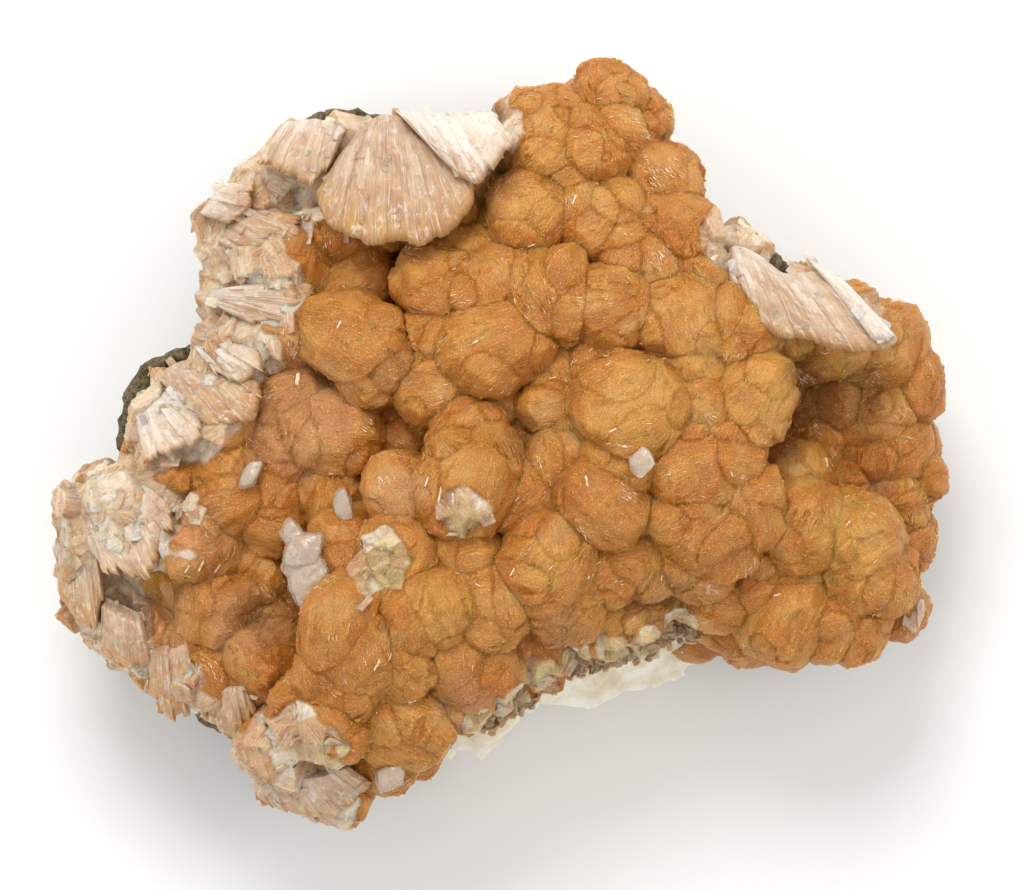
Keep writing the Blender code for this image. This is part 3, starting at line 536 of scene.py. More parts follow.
def finish_surface(tree, inputs):
    """Ends a material: the surface shader with its values and links, and the output."""
    surface = add_node(tree, "ShaderNodeBsdfPrincipled", inputs)
    add_node(tree, "ShaderNodeOutputMaterial", {"Surface": surface})


def layered(tree, base, layers):
    """A base colour with tints laid over it, each where its own value runs from low to high.

    A layer holds its value, low, high, its greatest share and its tint.
    """
    colour = base
    for value, low, high, most, tint in layers:
        limits = {"Value": value, "From Min": low, "From Max": high, "To Max": most}
        share = add_node(tree, "ShaderNodeMapRange", limits, interpolation_type="SMOOTHSTEP")
        inputs = {0: share, 6: colour, 7: tint}
        colour = add_node(tree, "ShaderNodeMix", inputs, output=2, data_type="RGBA")
    return colour


def graded(tree, value, stops):
    """A colour that goes from stop to stop as a value rises."""
    colour = add_node(tree, "ShaderNodeValToRGB", {"Fac": value})
    ramp = colour.node.color_ramp.elements
    for i, (position, tint) in enumerate(stops):
        stop = ramp[i] if i < 2 else ramp.new(position)
        stop.position = position
        stop.color = linear(tint)
    return colour


def stilbite_surface(name, settings, roughness, glint):
    """Stilbite, a zeolite with iron in it: packed blade ends that grew free in a cavity.

    The eye sees soft honey light from inside, a painted shade of deeper amber in the creases, a sugary
    bloom of blade tips whose pale specks are partly painted sparkle, fine lines where the blades fan out,
    and short bright dashes where one catches the lamp.
    """
    material, tree = new_material(name)
    grain = add_node(tree, "ShaderNodeAttribute", output="Vector", attribute_name="grain")
    stored = {
        key: add_node(tree, "ShaderNodeAttribute", output="Fac", attribute_name=key)
        for key in ("crown", "tone", "shine", "torn", "slab", "pink", "gold", "lemon", "dusk")
    }
    # Blades are 0.2 to 0.4 mm thick and run several millimetres along the sheaf
    streak_at = add_node(tree, "ShaderNodeVectorMath", {0: grain, 1: (0.35, 3.8, 1.1)}, operation="MULTIPLY")
    lines = {"Vector": streak_at, "Scale": 1.0, "Detail": 3.0, "Roughness": 0.65}
    streak = add_node(tree, "ShaderNodeTexNoise", lines)
    place = add_node(tree, "ShaderNodeTexCoord", output="Object")
    # Clouds are 4 to 6 mm across. Blade ends are 0.1 to 0.2 mm across, drawn at 0.2 mm so that they show;
    # their pale specks are partly painted sparkle
    cloud = add_node(tree, "ShaderNodeTexNoise", {"Vector": place, "Scale": 210.0, "Detail": 2.0})
    tip_speck_and_sparkle = add_node(tree, "ShaderNodeTexNoise", {"Vector": place, "Scale": 5200.0, "Detail": 2.0})
    # The base, deep amber, is a painted shade for the creases and for faces turned from a lobe's top; crown
    # lifts it to amber away from them
    body = layered(tree, settings.deep, (
        (stored["crown"], 0.0, 0.5, 1.0, settings.amber),
        (stored["tone"], 0.4, 0.9, 0.42, settings.gold),
        (stored["tone"], 0.4, 0.1, 0.4, "#b87024"),
        (stored["gold"], 0.0, 1.0, 0.6, settings.gold),
        (stored["pink"], 0.0, 1.0, 0.5, settings.pink),
        # Painted shade in the hollows
        (stored["dusk"], 0.0, 1.0, 0.45, "#8e6434"),
        (cloud, 0.52, 0.72, 0.5, "#a9621a"),
        (cloud, 0.47, 0.3, 0.42, "#d4a764"),
        (streak, 0.54, 0.72, 0.26, "#e9bf78"),
        (streak, 0.44, 0.28, 0.22, "#955612"),
    ))
    slabs = graded(tree, stored["slab"], (
        (0.0, "#b27a45"), (1.0, settings.cream), (0.22, "#cb9d74"), (0.5, "#dcbb98"), (0.75, "#eedcc4"),
    ))
    mosaic = layered(tree, slabs, (
        (stored["lemon"], 0.0, 1.0, 0.75, "#dcc384"),
        (streak, 0.5, 0.68, 0.6, "#f8ecd8"),
        (streak, 0.45, 0.3, 0.34, "#bf9060"),
        (cloud, 0.53, 0.66, 0.45, "#bd8a66"),
    ))
    colour = layered(tree, body, ((stored["torn"], 0.15, 0.6, 0.97, mosaic),))
    colour = layered(tree, colour, (
        # Pale and dark specks of blade ends; the pale ones are partly painted sparkle
        (tip_speck_and_sparkle, 0.54, 0.68, 0.46, "#f3cf90"),
        (tip_speck_and_sparkle, 0.46, 0.32, 0.36, "#955614"),
    ))
    rise = add_node(tree, "ShaderNodeMath", {0: tip_speck_and_sparkle, 1: 0.5, 2: streak}, operation="MULTIPLY_ADD")
    relief = add_node(tree, "ShaderNodeBump", {"Strength": 0.9, "Distance": 0.0003, "Height": rise})
    # A few blade faces are turned towards the lamp, 0.25 mm wide and about 1 mm long
    facet_at = add_node(tree, "ShaderNodeVectorMath", {0: grain, 1: (0.9, 3.6, 1.6)}, operation="MULTIPLY")
    facet = add_node(tree, "ShaderNodeTexVoronoi", {"Vector": facet_at, "Scale": 1.0}, output="Color")
    turned = add_node(tree, "ShaderNodeVectorMath", {0: facet, 1: (0.5, 0.5, 0.5)}, operation="SUBTRACT")
    limits = {"Value": stored["shine"], "To Min": glint * 0.7, "To Max": glint * 3.6}
    strength = add_node(tree, "ShaderNodeMapRange", limits)
    turned = add_node(tree, "ShaderNodeVectorMath", {0: turned, "Scale": strength}, operation="SCALE")
    turned = add_node(tree, "ShaderNodeVectorMath", {0: relief, 1: turned}, operation="ADD")
    turned = add_node(tree, "ShaderNodeVectorMath", {0: turned}, operation="NORMALIZE")
    limits = {"Value": stored["shine"], "To Min": roughness, "To Max": 0.14}
    rough = add_node(tree, "ShaderNodeMapRange", limits)
    rough = add_node(tree, "ShaderNodeMath", {0: streak, 1: 0.1, 2: rough}, operation="MULTIPLY_ADD")
    finish_surface(tree, {
        "Base Color": colour, "Normal": turned, "Roughness": rough, "IOR": 1.5,
        "Subsurface Weight": 0.85, "Subsurface Radius": (1.0, 0.5, 0.18), "Subsurface Scale": 0.0025,
    })
    return material


def glint_blade_surface():
    """Blade edges that lie bare on a lobe: pearly, and near-white, a painted glint that makes them the
    brightest dashes on the specimen.
    """
    material, tree = new_material("Stilbite, bare blade edges")
    grain = add_node(tree, "ShaderNodeAttribute", output="Vector", attribute_name="grain")
    # A blade's colour, from honey to the near-white of a painted glint, goes with its place, and blades
    # half a millimetre apart can differ
    shade = add_node(tree, "ShaderNodeTexNoise", {"Vector": grain, "Scale": 1.7, "Detail": 2.0})
    place = add_node(tree, "ShaderNodeTexCoord", output="Object")
    ripple = add_node(tree, "ShaderNodeTexNoise", {"Vector": place, "Scale": 3000.0})
    limits = {"Value": shade, "From Min": 0.3, "From Max": 0.7, "To Min": 0.3, "To Max": 0.12}
    finish_surface(tree, {
        "Base Color": graded(tree, shade, ((0.35, "#dfa866"), (0.66, "#ffeeda"))),
        "Normal": add_node(tree, "ShaderNodeBump", {"Strength": 0.2, "Distance": 0.0001, "Height": ripple}),
        "Roughness": add_node(tree, "ShaderNodeMapRange", limits), "IOR": 1.5,
    })
    return material


def pearly_surface():
    """Broken stilbite: a sheaf torn along its blades, which shows their pearly cleavage.

    The eye sees cream with a silky run of light along the blades, turning to amber at the tips.
    """
    material, tree = new_material("Stilbite, torn along its blades")
    grain = add_node(tree, "ShaderNodeAttribute", output="Vector", attribute_name="grain")
    own = add_node(tree, "ShaderNodeAttribute", output="Vector", attribute_name="fibre")
    grain = add_node(tree, "ShaderNodeVectorMath", {0: grain, 1: own}, operation="ADD")
    rim, tone, white = (
        add_node(tree, "ShaderNodeAttribute", output="Fac", attribute_name=key)
        for key in ("rim", "tone", "white")
    )
    # Fibres are 0.1 to 0.3 mm wide and 3 mm long or more, flakes 1 to 2 mm and stains 3 to 5 mm
    fibre_at = add_node(tree, "ShaderNodeVectorMath", {0: grain, 1: (0.3, 4.6, 1.4)}, operation="MULTIPLY")
    lines = {"Vector": fibre_at, "Scale": 1.0, "Detail": 4.0, "Roughness": 0.65}
    fibre = add_node(tree, "ShaderNodeTexNoise", lines)
    stain = add_node(tree, "ShaderNodeTexNoise", {"Vector": grain, "Scale": 0.3, "Detail": 3.0})
    chips = {"Vector": grain, "Scale": 0.8, "Detail": 4.0, "Roughness": 0.65, "Distortion": 0.6}
    flake = add_node(tree, "ShaderNodeTexNoise", chips)
    colour = layered(tree, "#d3b28f", (
        (rim, 0.1, 0.95, 1.0, "#cb9955"),
        (tone, 0.4, 1.0, 0.5, "#bb8c66"),
        (stain, 0.5, 0.64, 0.6, "#b98765"),
        (white, 0.0, 1.0, 0.9, "#f6ebde"),
        (fibre, 0.52, 0.68, 0.55, "#f5eadc"),
        (fibre, 0.46, 0.28, 0.4, "#b08560"),
        (flake, 0.52, 0.68, 0.45, "#faf3ea"),
        (flake, 0.44, 0.36, 0.4, "#b88a69"),
    ))
    limits = {"Value": fibre, "From Min": 0.3, "From Max": 0.7, "To Min": 0.4, "To Max": 0.18}
    finish_surface(tree, {
        "Base Color": colour,
        "Normal": add_node(tree, "ShaderNodeBump", {"Strength": 0.8, "Distance": 0.0003, "Height": fibre}),
        "Roughness": add_node(tree, "ShaderNodeMapRange", limits), "IOR": 1.5,
        "Subsurface Weight": 0.45, "Subsurface Radius": (1.0, 0.6, 0.35), "Subsurface Scale": 0.0012,
    })
    return material


def massive_calcite_surface(settings):
    """Massive vein calcite, broken along its cleavage: milky white, cloudy, glassy on the facets."""
    material, tree = new_material("Massive vein calcite, broken")
    place = add_node(tree, "ShaderNodeTexCoord", output="Object")
    # Clouds are 3 to 5 mm across and grains 0.5 mm
    cloud = add_node(tree, "ShaderNodeTexNoise", {"Vector": place, "Scale": 260.0, "Detail": 4.0})
    grains = add_node(tree, "ShaderNodeTexNoise", {"Vector": place, "Scale": 1800.0, "Detail": 3.0})
    limits = {"Value": grains, "From Min": 0.3, "From Max": 0.7, "To Min": 0.22, "To Max": 0.5}
    finish_surface(tree, {
        "Base Color": graded(tree, cloud, ((0.35, "#e6d7ba"), (0.62, settings.white))),
        "Normal": add_node(tree, "ShaderNodeBump", {"Strength": 0.35, "Distance": 0.0003, "Height": grains}),
        "Roughness": add_node(tree, "ShaderNodeMapRange", limits), "IOR": 1.6,
        "Subsurface Weight": 0.7, "Subsurface Radius": (1.0, 0.9, 0.75), "Subsurface Scale": 0.002,
    })
    return material


def clear_calcite_surface():
    """Clear calcite with a frosted growth face: see-through, a little milky, bright along its edges."""
    material, tree = new_material("Clear calcite, frosted")
    place = add_node(tree, "ShaderNodeTexCoord", output="Object")
    # Frosting pits are 0.3 to 0.5 mm
    frost = add_node(tree, "ShaderNodeTexNoise", {"Vector": place, "Scale": 2200.0, "Detail": 3.0})
    limits = {"Value": frost, "From Min": 0.35, "From Max": 0.65, "To Min": 0.06, "To Max": 0.3}
    finish_surface(tree, {
        "Base Color": "#fff1da",
        "Normal": add_node(tree, "ShaderNodeBump", {"Strength": 0.4, "Distance": 0.0003, "Height": frost}),
        "Roughness": add_node(tree, "ShaderNodeMapRange", limits),
        "IOR": 1.57, "Transmission Weight": 0.64,
    })
    return material


def basalt_surface(settings):
    """Weathered basalt, broken by hammer: dark, granular, with green clay and rusty specks."""
    material, tree = new_material("Weathered basalt, broken")
    place = add_node(tree, "ShaderNodeTexCoord", output="Object")
    # Mineral grains are 0.3 to 0.8 mm, stains 5 to 10 mm
    speckle = {"Vector": place, "Scale": 1400.0, "Detail": 5.0, "Roughness": 0.7}
    grains = add_node(tree, "ShaderNodeTexNoise", speckle)
    stains = add_node(tree, "ShaderNodeTexNoise", {"Vector": place, "Scale": 140.0, "Detail": 4.0})
    base = graded(tree, grains, ((0.36, settings.dark), (0.66, settings.light)))
    inputs = {0: stains, 6: base, 7: "#b9a877"}
    colour = add_node(tree, "ShaderNodeMix", inputs, output=2, data_type="RGBA", blend_type="MULTIPLY")
    limits = {"Value": grains, "From Min": 0.3, "From Max": 0.7, "To Min": 0.95, "To Max": 0.7}
    finish_surface(tree, {
        "Base Color": colour,
        "Normal": add_node(tree, "ShaderNodeBump", {"Strength": 0.9, "Distance": 0.0006, "Height": grains}),
        "Roughness": add_node(tree, "ShaderNodeMapRange", limits),
    })
    return material


def paper_surface(settings):
    """White studio paper: matt, with a faint tooth that keeps the floor from looking like plastic."""
    material, tree = new_material("White studio paper")
    place = add_node(tree, "ShaderNodeTexCoord", output="Object")
    tooth = add_node(tree, "ShaderNodeTexNoise", {"Vector": place, "Scale": 900.0})
    finish_surface(tree, {
        "Base Color": settings.floor, "Roughness": 0.9,
        "Normal": add_node(tree, "ShaderNodeBump", {"Strength": 0.05, "Distance": 0.0002, "Height": tooth}),
    })
    return material


# Stilbite lobes


def ball(level):
    """Points and faces of a ball of radius one."""
    shape = bmesh.new()
    bmesh.ops.create_icosphere(shape, subdivisions=level, radius=1.0)
    return arrays_of(shape)


def grown_axes(middle, rng, wander):
    """A sheaf's own axes: along the blades' broad faces, across them, and out from its root."""
    root = np.array((middle[0] * ROOT_SHARE, middle[1] * ROOT_SHARE, ROOT_HEIGHT))
    out = unit(middle - root + rng.normal(0, wander, 3))
    turn = rng.uniform(0, math.pi)
    across = unit(np.cross(out, (math.cos(turn), math.sin(turn), 0.1)))
    return np.array((np.cross(across, out), across, out))


def evened(sheaves):
    """The sheaves with their tops drawn part of the way to the mean of the tops around them."""
    table = np.array(sheaves, float)
    gap = np.hypot(table[:, None, 0] - table[:, 0], table[:, None, 1] - table[:, 1])
    weight = np.exp(-((gap / EVENED_OVER) ** 2))
    around = weight @ table[:, 2] / weight.sum(axis=1)
    table[:, 2] += (around - table[:, 2]) * EVENED
    return table


def lobes_from(sheaves, rng, shoots):
    """Every lobe of a group: the sheaves themselves and the smaller lobes that bud from them."""
    lobes = []
    for x, y, top, listed in evened(sheaves):
        radius = listed + WIDENED
        middle = np.array((x, y, top - radius))
        own = grown_axes(middle, rng, wander=2.0)
        stretch = rng.uniform(0.88, 1.2)
        sizes = radius * np.array((stretch, 1 / stretch, FLATTENED))
        middle[2] = top - np.linalg.norm(sizes * own[:, 2])
        tone = rng.uniform()
        lobes.append((middle, own, sizes, TAIL, tone))
        start = rng.uniform(0, math.tau)
        for shoot in range(shoots):
            lean = math.radians(rng.uniform(66, 100))
            turn = start + math.tau * (shoot + rng.uniform(-0.3, 0.3)) / shoots
            flat = math.sin(lean)
            local = np.array((flat * math.cos(turn), flat * math.sin(turn), math.cos(lean)))
            size = radius * rng.uniform(0.58, 0.88)
            bud = middle + (local * (sizes * 1.05 - size * np.array((1, 1, 0.8)))) @ own
            axes = grown_axes(bud + (bud - middle), rng, wander=4.0)
            shape = np.array((rng.uniform(0.95, 1.25), rng.uniform(0.8, 1.05), rng.uniform(0.7, 0.95)))
            shade = np.clip(tone + rng.normal(0, 0.22), 0, 1)
            lobes.append((bud, axes, size * shape, TAIL * 0.4, shade))
    names = ("middle", "axes", "radii", "tail", "tone")
    return {name: np.array(values) for name, values in zip(names, zip(*lobes))}


def heap(lobes):
    """Points and faces of every lobe, still overlapping, each with its back drawn out to its root."""
    ball_points, ball_faces = ball(3)
    local = ball_points[None] * lobes["radii"][:, None]
    local[..., 2] -= np.where(local[..., 2] < 0, lobes["tail"][:, None], 0)
    points = np.einsum("nki,nij->nkj", local, lobes["axes"]) + lobes["middle"][:, None]
    return joined([(lobe, ball_faces) for lobe in points])


def core_heap():
    """Points and faces of the masses that fill the inside of the crust."""
    ball_points, ball_faces = ball(4)
    masses = []
    for x, y, top, radius_x, radius_y in CORE_MASSES:
        half = (top - CORE_FLOOR) / 2
        masses.append((ball_points * (radius_x, radius_y, half) + (x, y, CORE_FLOOR + half), ball_faces))
    return joined(masses)


def nearest_lobes(points, lobes):
    """For each point: its lobe's number, its place in the lobe's own axes, and how far from a crease."""
    best = np.full(len(points), np.inf)
    second = best.copy()
    owner = np.zeros(len(points), int)
    for i in range(len(lobes["middle"])):
        local = (points - lobes["middle"][i]) @ lobes["axes"][i].T
        behind = np.minimum(local[:, 2] + lobes["tail"][i], 0)
        local[:, 2] = np.where(local[:, 2] < 0, behind, local[:, 2])
        distance = np.linalg.norm(local / lobes["radii"][i], axis=1)
        closer = distance < best
        second = np.where(closer, best, np.minimum(second, distance))
        best[closer] = distance[closer]
        owner[closer] = i
    local = np.einsum("ni,nji->nj", points - lobes["middle"][owner], lobes["axes"][owner])
    return owner, local, smooth_step((second - best) / CREASE_WIDTH)


def bundle_directions(count):
    """Directions spread over a ball, with a little disorder."""
    steps = np.arange(count) + 0.5
    tilt = np.arccos(1 - 2 * steps / count)
    turn = steps * math.pi * (3 - math.sqrt(5))
    spread = np.stack((np.cos(turn) * np.sin(tilt), np.sin(turn) * np.sin(tilt), np.cos(tilt)), -1)
    return unit(spread + np.random.default_rng(count).normal(0, 0.9 / math.sqrt(count), spread.shape))


def bundles(local, owner, count):
    """The bundle of blades each point belongs to: a step in height, a lean, how far it is from the
    middle of the bundle, and a repeatable number."""
    directions = bundle_directions(count)
    towards = unit(local + 0.5 * np.stack([smooth_noise(local / 1.3, seed) for seed in (41, 42, 43)], -1))
    nearness = towards @ directions.T
    number = nearness.argmax(axis=1)
    cell = np.stack((number, owner, np.full(len(owner), count)), -1)
    lean = np.stack([lattice(cell, seed) - 0.5 for seed in (44, 45, 46)], -1)
    value = lattice(cell, 47)
    return value - 0.5, dot(towards - directions[number], lean), 1 - nearness.max(axis=1), value


def tint_at(points, patches, seed):
    """How strongly a group of soft-edged patches covers each point, from 0 to 1."""
    ragged = smooth_noise(points / 2.5, seed) * 0.25
    total = np.zeros(len(points))
    for x, y, radius in patches:
        distance = np.hypot(points[:, 0] - x, points[:, 1] - y) / radius
        total = np.maximum(total, smooth_step(1.6 * (1 - distance + ragged)))
    return total


def fan_lines(local, radii):
    """How far each point lies along its sheaf's blades and round their waist, in millimetres.

    The blades spread from a waist at the sheaf's side, so their lines cross the lobe as a fan.
    """
    towards = unit(local / radii)
    waist = towards @ (math.sin(WAIST_LEAN), 0.0, math.cos(WAIST_LEAN))
    above = towards @ (-math.cos(WAIST_LEAN), 0.0, math.sin(WAIST_LEAN))
    size = radii.mean(axis=1)
    return np.arccos(np.clip(waist, -1, 1)) * size, np.arctan2(towards[:, 1], above) * size


def broken_slabs(points, normals, torn, seed):
    """Breaks the torn parts of a skin into flat slabs of blades.

    Returns how far each point moves, a number from 0 to 1 for its slab, and its place along and
    across the slab's blades.
    """
    rng = np.random.default_rng(seed)
    strip_width, strip_length, flattened, deepest = 0.9, 2.8, 0.85, 1.8
    free = np.flatnonzero(torn > 0.02)
    near, facing = points[free], normals[free]
    # One slab to each cube of space that holds enough of the skin
    _, number = np.unique(np.floor(near / SLAB_SIZE), axis=0, return_inverse=True)
    number = number.ravel()
    amount = np.bincount(number)
    middle = np.stack([np.bincount(number, near[:, i]) for i in range(3)], -1) / amount[:, None]
    out = np.stack([np.bincount(number, facing[:, i]) for i in range(3)], -1)
    kept = amount > 0.3 * np.median(amount)
    middle = middle[kept] + rng.normal(0, 0.12 * SLAB_SIZE, (kept.sum(), 3))
    out = unit(unit(out[kept]) + rng.normal(0, 0.24, (kept.sum(), 3)))
    blades = middle * (1 - ROOT_SHARE, 1 - ROOT_SHARE, 0.4) + rng.normal(0, 9.0, middle.shape)
    side = unit(np.cross(out, -blades))
    along = np.cross(side, out)
    # Each point goes to its nearest slab, and its place is found along the slab's spreading blades
    slab = ((middle**2).sum(axis=1) - 2 * near @ middle.T).argmin(axis=1)
    offset = near - middle[slab]
    depth = dot(offset, out[slab])
    run = dot(offset, along[slab]) + SLAB_REACH
    turn = np.arctan2(dot(offset, side[slab]), run) * SLAB_REACH
    strip = np.floor(turn / strip_width + 0.3 * smooth_noise(near / 1.5, 14))
    step = lattice(np.stack((strip, slab, slab), -1), 15) - 0.5
    ended = lattice(np.stack((strip, np.floor(run / strip_length + 3 * step), slab), -1), 16) - 0.5
    lift = 0.8 * (rng.uniform(size=len(middle))[slab] - 0.5) + 0.3 * step + 0.25 * ended
    move = np.zeros(points.shape)
    share = np.clip(torn[free] * 3, 0, 1)
    move[free] = out[slab] * ((lift - flattened * np.clip(depth, -deepest, deepest)) * share)[:, None]
    value = np.zeros(len(points))
    value[free] = np.clip(rng.beta(1.6, 1.4, len(middle))[slab] + 0.25 * ended, 0, 1)
    lines = np.zeros(points.shape)
    lines[free] = np.stack((run, turn, depth), -1) + slab[:, None] * (7.1, 3.3, 5.7)
    return move, value, lines


def grow_blades(mesh, lobes, relief):
    """Raises bundles of blades and soft lumps on a fused skin, and stores what the material reads.

    Returns two copies of the skin, whose stored values say where torn plates and where near-white
    streaks stand on it. The streaks' colour is a painted glint.
    """
    points = points_of(mesh)
    normals = normals_of(mesh)
    owner, local, crest = nearest_lobes(points, lobes)
    radii = lobes["radii"][owner]
    along, across, outward = lobes["axes"][owner].transpose(1, 0, 2)
    tints = {name: tint_at(points, patches, 20 + i) for i, (name, patches) in enumerate(TINTS.items())}
    pale = tints["pale"]
    share = local / radii * 4.0
    size = radii.mean(axis=1)
    step, lean, edge, value = bundles(share, owner, BUNDLES)
    small_step, small_lean, small_edge, small_value = bundles(share, owner, SMALL_BUNDLES)
    run, turn = fan_lines(local, radii)
    strip = np.floor(turn / PACKET_WIDTH + 0.35 * smooth_noise(points / 2.0, 11))
    ended = np.floor(run / PACKET_LENGTH + lattice(np.stack((strip, owner, owner), -1), 12))
    packet = lattice(np.stack((strip, ended, owner), -1), 13)
    # In millimetres: soft lumps, bundles, small bundles, packets of blades, and a fine tooth
    rise = relief * (
        0.14 * smooth_noise(points / 3.2, 1)
        + 0.14 * step + 0.40 * lean + 0.7 * size * edge
        + 0.08 * small_step + 0.25 * small_lean + 0.5 * size * small_edge
        + 0.24 * (packet - 0.5) * smooth_step(run / 3.0)
        + 0.08 * smooth_noise(points / 0.8, 8)
    )
    torn = np.clip(pale * 1.6 + 0.25 * smooth_noise(points / 3.0, 17), 0, 1) * np.minimum(pale * 4, 1)
    break_move, slab, break_lines = broken_slabs(points, normals, torn, len(points))
    whole = 1 - np.clip(torn * 3, 0, 1)
    moved = points + normals * (rise * (0.3 + 0.7 * whole))[:, None] + break_move
    moved[:, 2] = np.maximum(moved[:, 2], LOWEST_SKIN)
    move_points(mesh, moved)
    lines = np.stack((run, turn, packet * 2), -1) + owner[:, None] * np.array((3.7, 5.3, 1.9)) * 11
    keep(mesh, "grain", np.where(torn[:, None] > 0.3, break_lines, lines))
    keep(mesh, "torn", torn)
    keep(mesh, "slab", slab)
    # Crown is low in the creases and on faces turned from the lobe's outward axis, where the material paints
    # shade in deep amber
    keep(mesh, "crown", crest * (0.6 + 0.4 * np.clip(dot(normals, outward), 0, 1)))
    keep(mesh, "tone", np.clip(0.5 * lobes["tone"][owner] + 0.25 * value + 0.3 * packet, 0, 1))
    keep(mesh, "shine", smooth_step((small_value - 0.6) * 5) * smooth_step((value - 0.6) * 5))
    keep(mesh, "along", along)
    keep(mesh, "outward", outward)
    keep(mesh, "open", np.where(normals[:, 2] > -0.35, 1.0, 0.15))
    for name, values in tints.items():
        keep(mesh, name, values)
    plated = mesh.copy()
    keep(plated, "open", pale * (normals[:, 2] > 0))
    keep(plated, "outward", unit(np.cross(across, normals)))
    keep(plated, "along", across)
    streaked = mesh.copy()
    # Streaks stand on the crests of some lobes; their near-white colour is a painted glint
    lobe_shine = smooth_step((lattice(owner[:, None] * (1, 3, 7), 48) - 0.35) * 6)
    painted_glint = smooth_step((small_value - 0.4) * 5) * lobe_shine
    keep(streaked, "open", painted_glint * smooth_step((value - 0.45) * 5) * (normals[:, 2] > 0.3) * crest)
    keep(streaked, "outward", unit(along - normals * dot(along, normals)[:, None]))
    keep(streaked, "along", normals)
    return plated, streaked


def flank_lobes(rng):
    """Sheaves of the side walls as x, y, top and radius, in two rows round the edge."""
    sheaves = []
    along = 0.0
    for i, (x, y, rim, rock) in enumerate(EDGE):
        next_x, next_y, next_rim, next_rock = EDGE[(i + 1) % len(EDGE)]
        run = math.hypot(next_x - x, next_y - y)
        while along < run:
            share = along / run
            along += FLANK_PITCH
            if min(rim, next_rim) == 0 or max(rock, next_rock) > BARE_ROCK:
                continue
            point = np.array((x + (next_x - x) * share, y + (next_y - y) * share))
            height = rim + (next_rim - rim) * share
            for drop, inset, size in FLANK_ROWS:
                radius = rng.uniform(3.4, 5.0) * size
                inwards = 1 - (radius + WIDENED) * inset / np.linalg.norm(point)
                top = max(height - drop * radius, 7.0 + 2 * radius)
                sheaves.append((*(point * inwards), top, radius))
        along -= run
    return sheaves


# Blades that stand on a surface


def blade_shape(wide, deep):
    """One stilbite blade: flat, a little tapered, with a roof-shaped tip. Z runs to the tip, X is broad."""
    shoulder, ridge = 0.12, 0.24
    points = []
    for height, share in ((-0.75, 0.8), (shoulder, 1.0)):
        for side_x, side_y in ((-1, -1), (1, -1), (1, 1), (-1, 1)):
            points.append((side_x * wide * share, side_y * deep, height))
    points += [(wide * 0.15, -deep, ridge), (wide * 0.15, deep, ridge)]
    faces = (
        (0, 3, 2, 1), (1, 2, 6, 5), (3, 0, 4, 7), (0, 1, 5, 8, 4), (2, 3, 7, 9, 6), (4, 8, 9, 7),
        (8, 5, 6, 9),
    )
    mesh = bpy.data.meshes.new("blade")
    mesh.from_pydata([tuple(c * MM for c in point) for point in points], [], faces)
    keep(mesh, "fibre", np.array([(z, x, y) for x, y, z in points]) * 3)
    return mesh


def scatter_tree():
    """Geometry Nodes: stands copies of one crystal on a surface, turned to its stored directions."""
    tree = bpy.data.node_groups.new("Scatter crystals", "GeometryNodeTree")
    sockets = (
        ("Surface", "Geometry"), ("Crystal", "Object"), ("Per square metre", "Float"), ("Smallest", "Float"),
        ("Largest", "Float"), ("Follow surface", "Float"), ("Untidiness", "Float"), ("Seed", "Int"),
        ("Finish", "Material"),
    )
    for name, kind in sockets:
        tree.interface.new_socket(name, in_out="INPUT", socket_type="NodeSocket" + kind)
    tree.interface.new_socket("Crystals", in_out="OUTPUT", socket_type="NodeSocketGeometry")
    given = add_node(tree, "NodeGroupInput").node.outputs
    stored = {
        name: add_node(tree, "GeometryNodeInputNamedAttribute", {"Name": name}, data_type=kind)
        for name, kind in (("open", "FLOAT"), ("outward", "FLOAT_VECTOR"), ("along", "FLOAT_VECTOR"))
    }
    inputs = {0: given["Per square metre"], 1: stored["open"]}
    density = add_node(tree, "ShaderNodeMath", inputs, operation="MULTIPLY")
    inputs = {"Mesh": given["Surface"], "Density": density, "Seed": given["Seed"]}
    spread = add_node(tree, "GeometryNodeDistributePointsOnFaces", inputs).node.outputs
    inputs = {0: spread["Normal"], "Scale": given["Follow surface"]}
    up = add_node(tree, "ShaderNodeVectorMath", inputs, operation="SCALE")
    up = add_node(tree, "ShaderNodeVectorMath", {0: up, 1: stored["outward"]}, operation="ADD")
    upright = add_node(tree, "FunctionNodeAlignRotationToVector", {"Vector": up}, axis="Z")
    inputs = {"Rotation": upright, "Vector": stored["along"]}
    turned = add_node(tree, "FunctionNodeAlignRotationToVector", inputs, axis="X", pivot_axis="Z")
    least = add_node(tree, "ShaderNodeMath", {0: given["Untidiness"], 1: -1.0}, operation="MULTIPLY")
    inputs = {0: least, 1: given["Untidiness"], "Seed": given["Seed"]}
    tumble = add_node(tree, "FunctionNodeRandomValue", inputs, data_type="FLOAT_VECTOR")
    inputs = {"Rotation": turned, "Rotate By": tumble}
    rotation = add_node(tree, "FunctionNodeRotateRotation", inputs, rotation_space="LOCAL")
    inputs = {2: given["Smallest"], 3: given["Largest"], "Seed": given["Seed"]}
    size = add_node(tree, "FunctionNodeRandomValue", inputs, output=1, data_type="FLOAT")
    crystal = add_node(tree, "GeometryNodeObjectInfo", {"Object": given["Crystal"]}, output="Geometry")
    inputs = {"Points": spread["Points"], "Instance": crystal, "Rotation": rotation, "Scale": size}
    placed = add_node(tree, "GeometryNodeInstanceOnPoints", inputs)
    real = add_node(tree, "GeometryNodeRealizeInstances", {"Geometry": placed})
    dressed = add_node(tree, "GeometryNodeSetMaterial", {"Geometry": real, "Material": given["Finish"]})
    add_node(tree, "NodeGroupOutput", {"Crystals": dressed})
    return tree


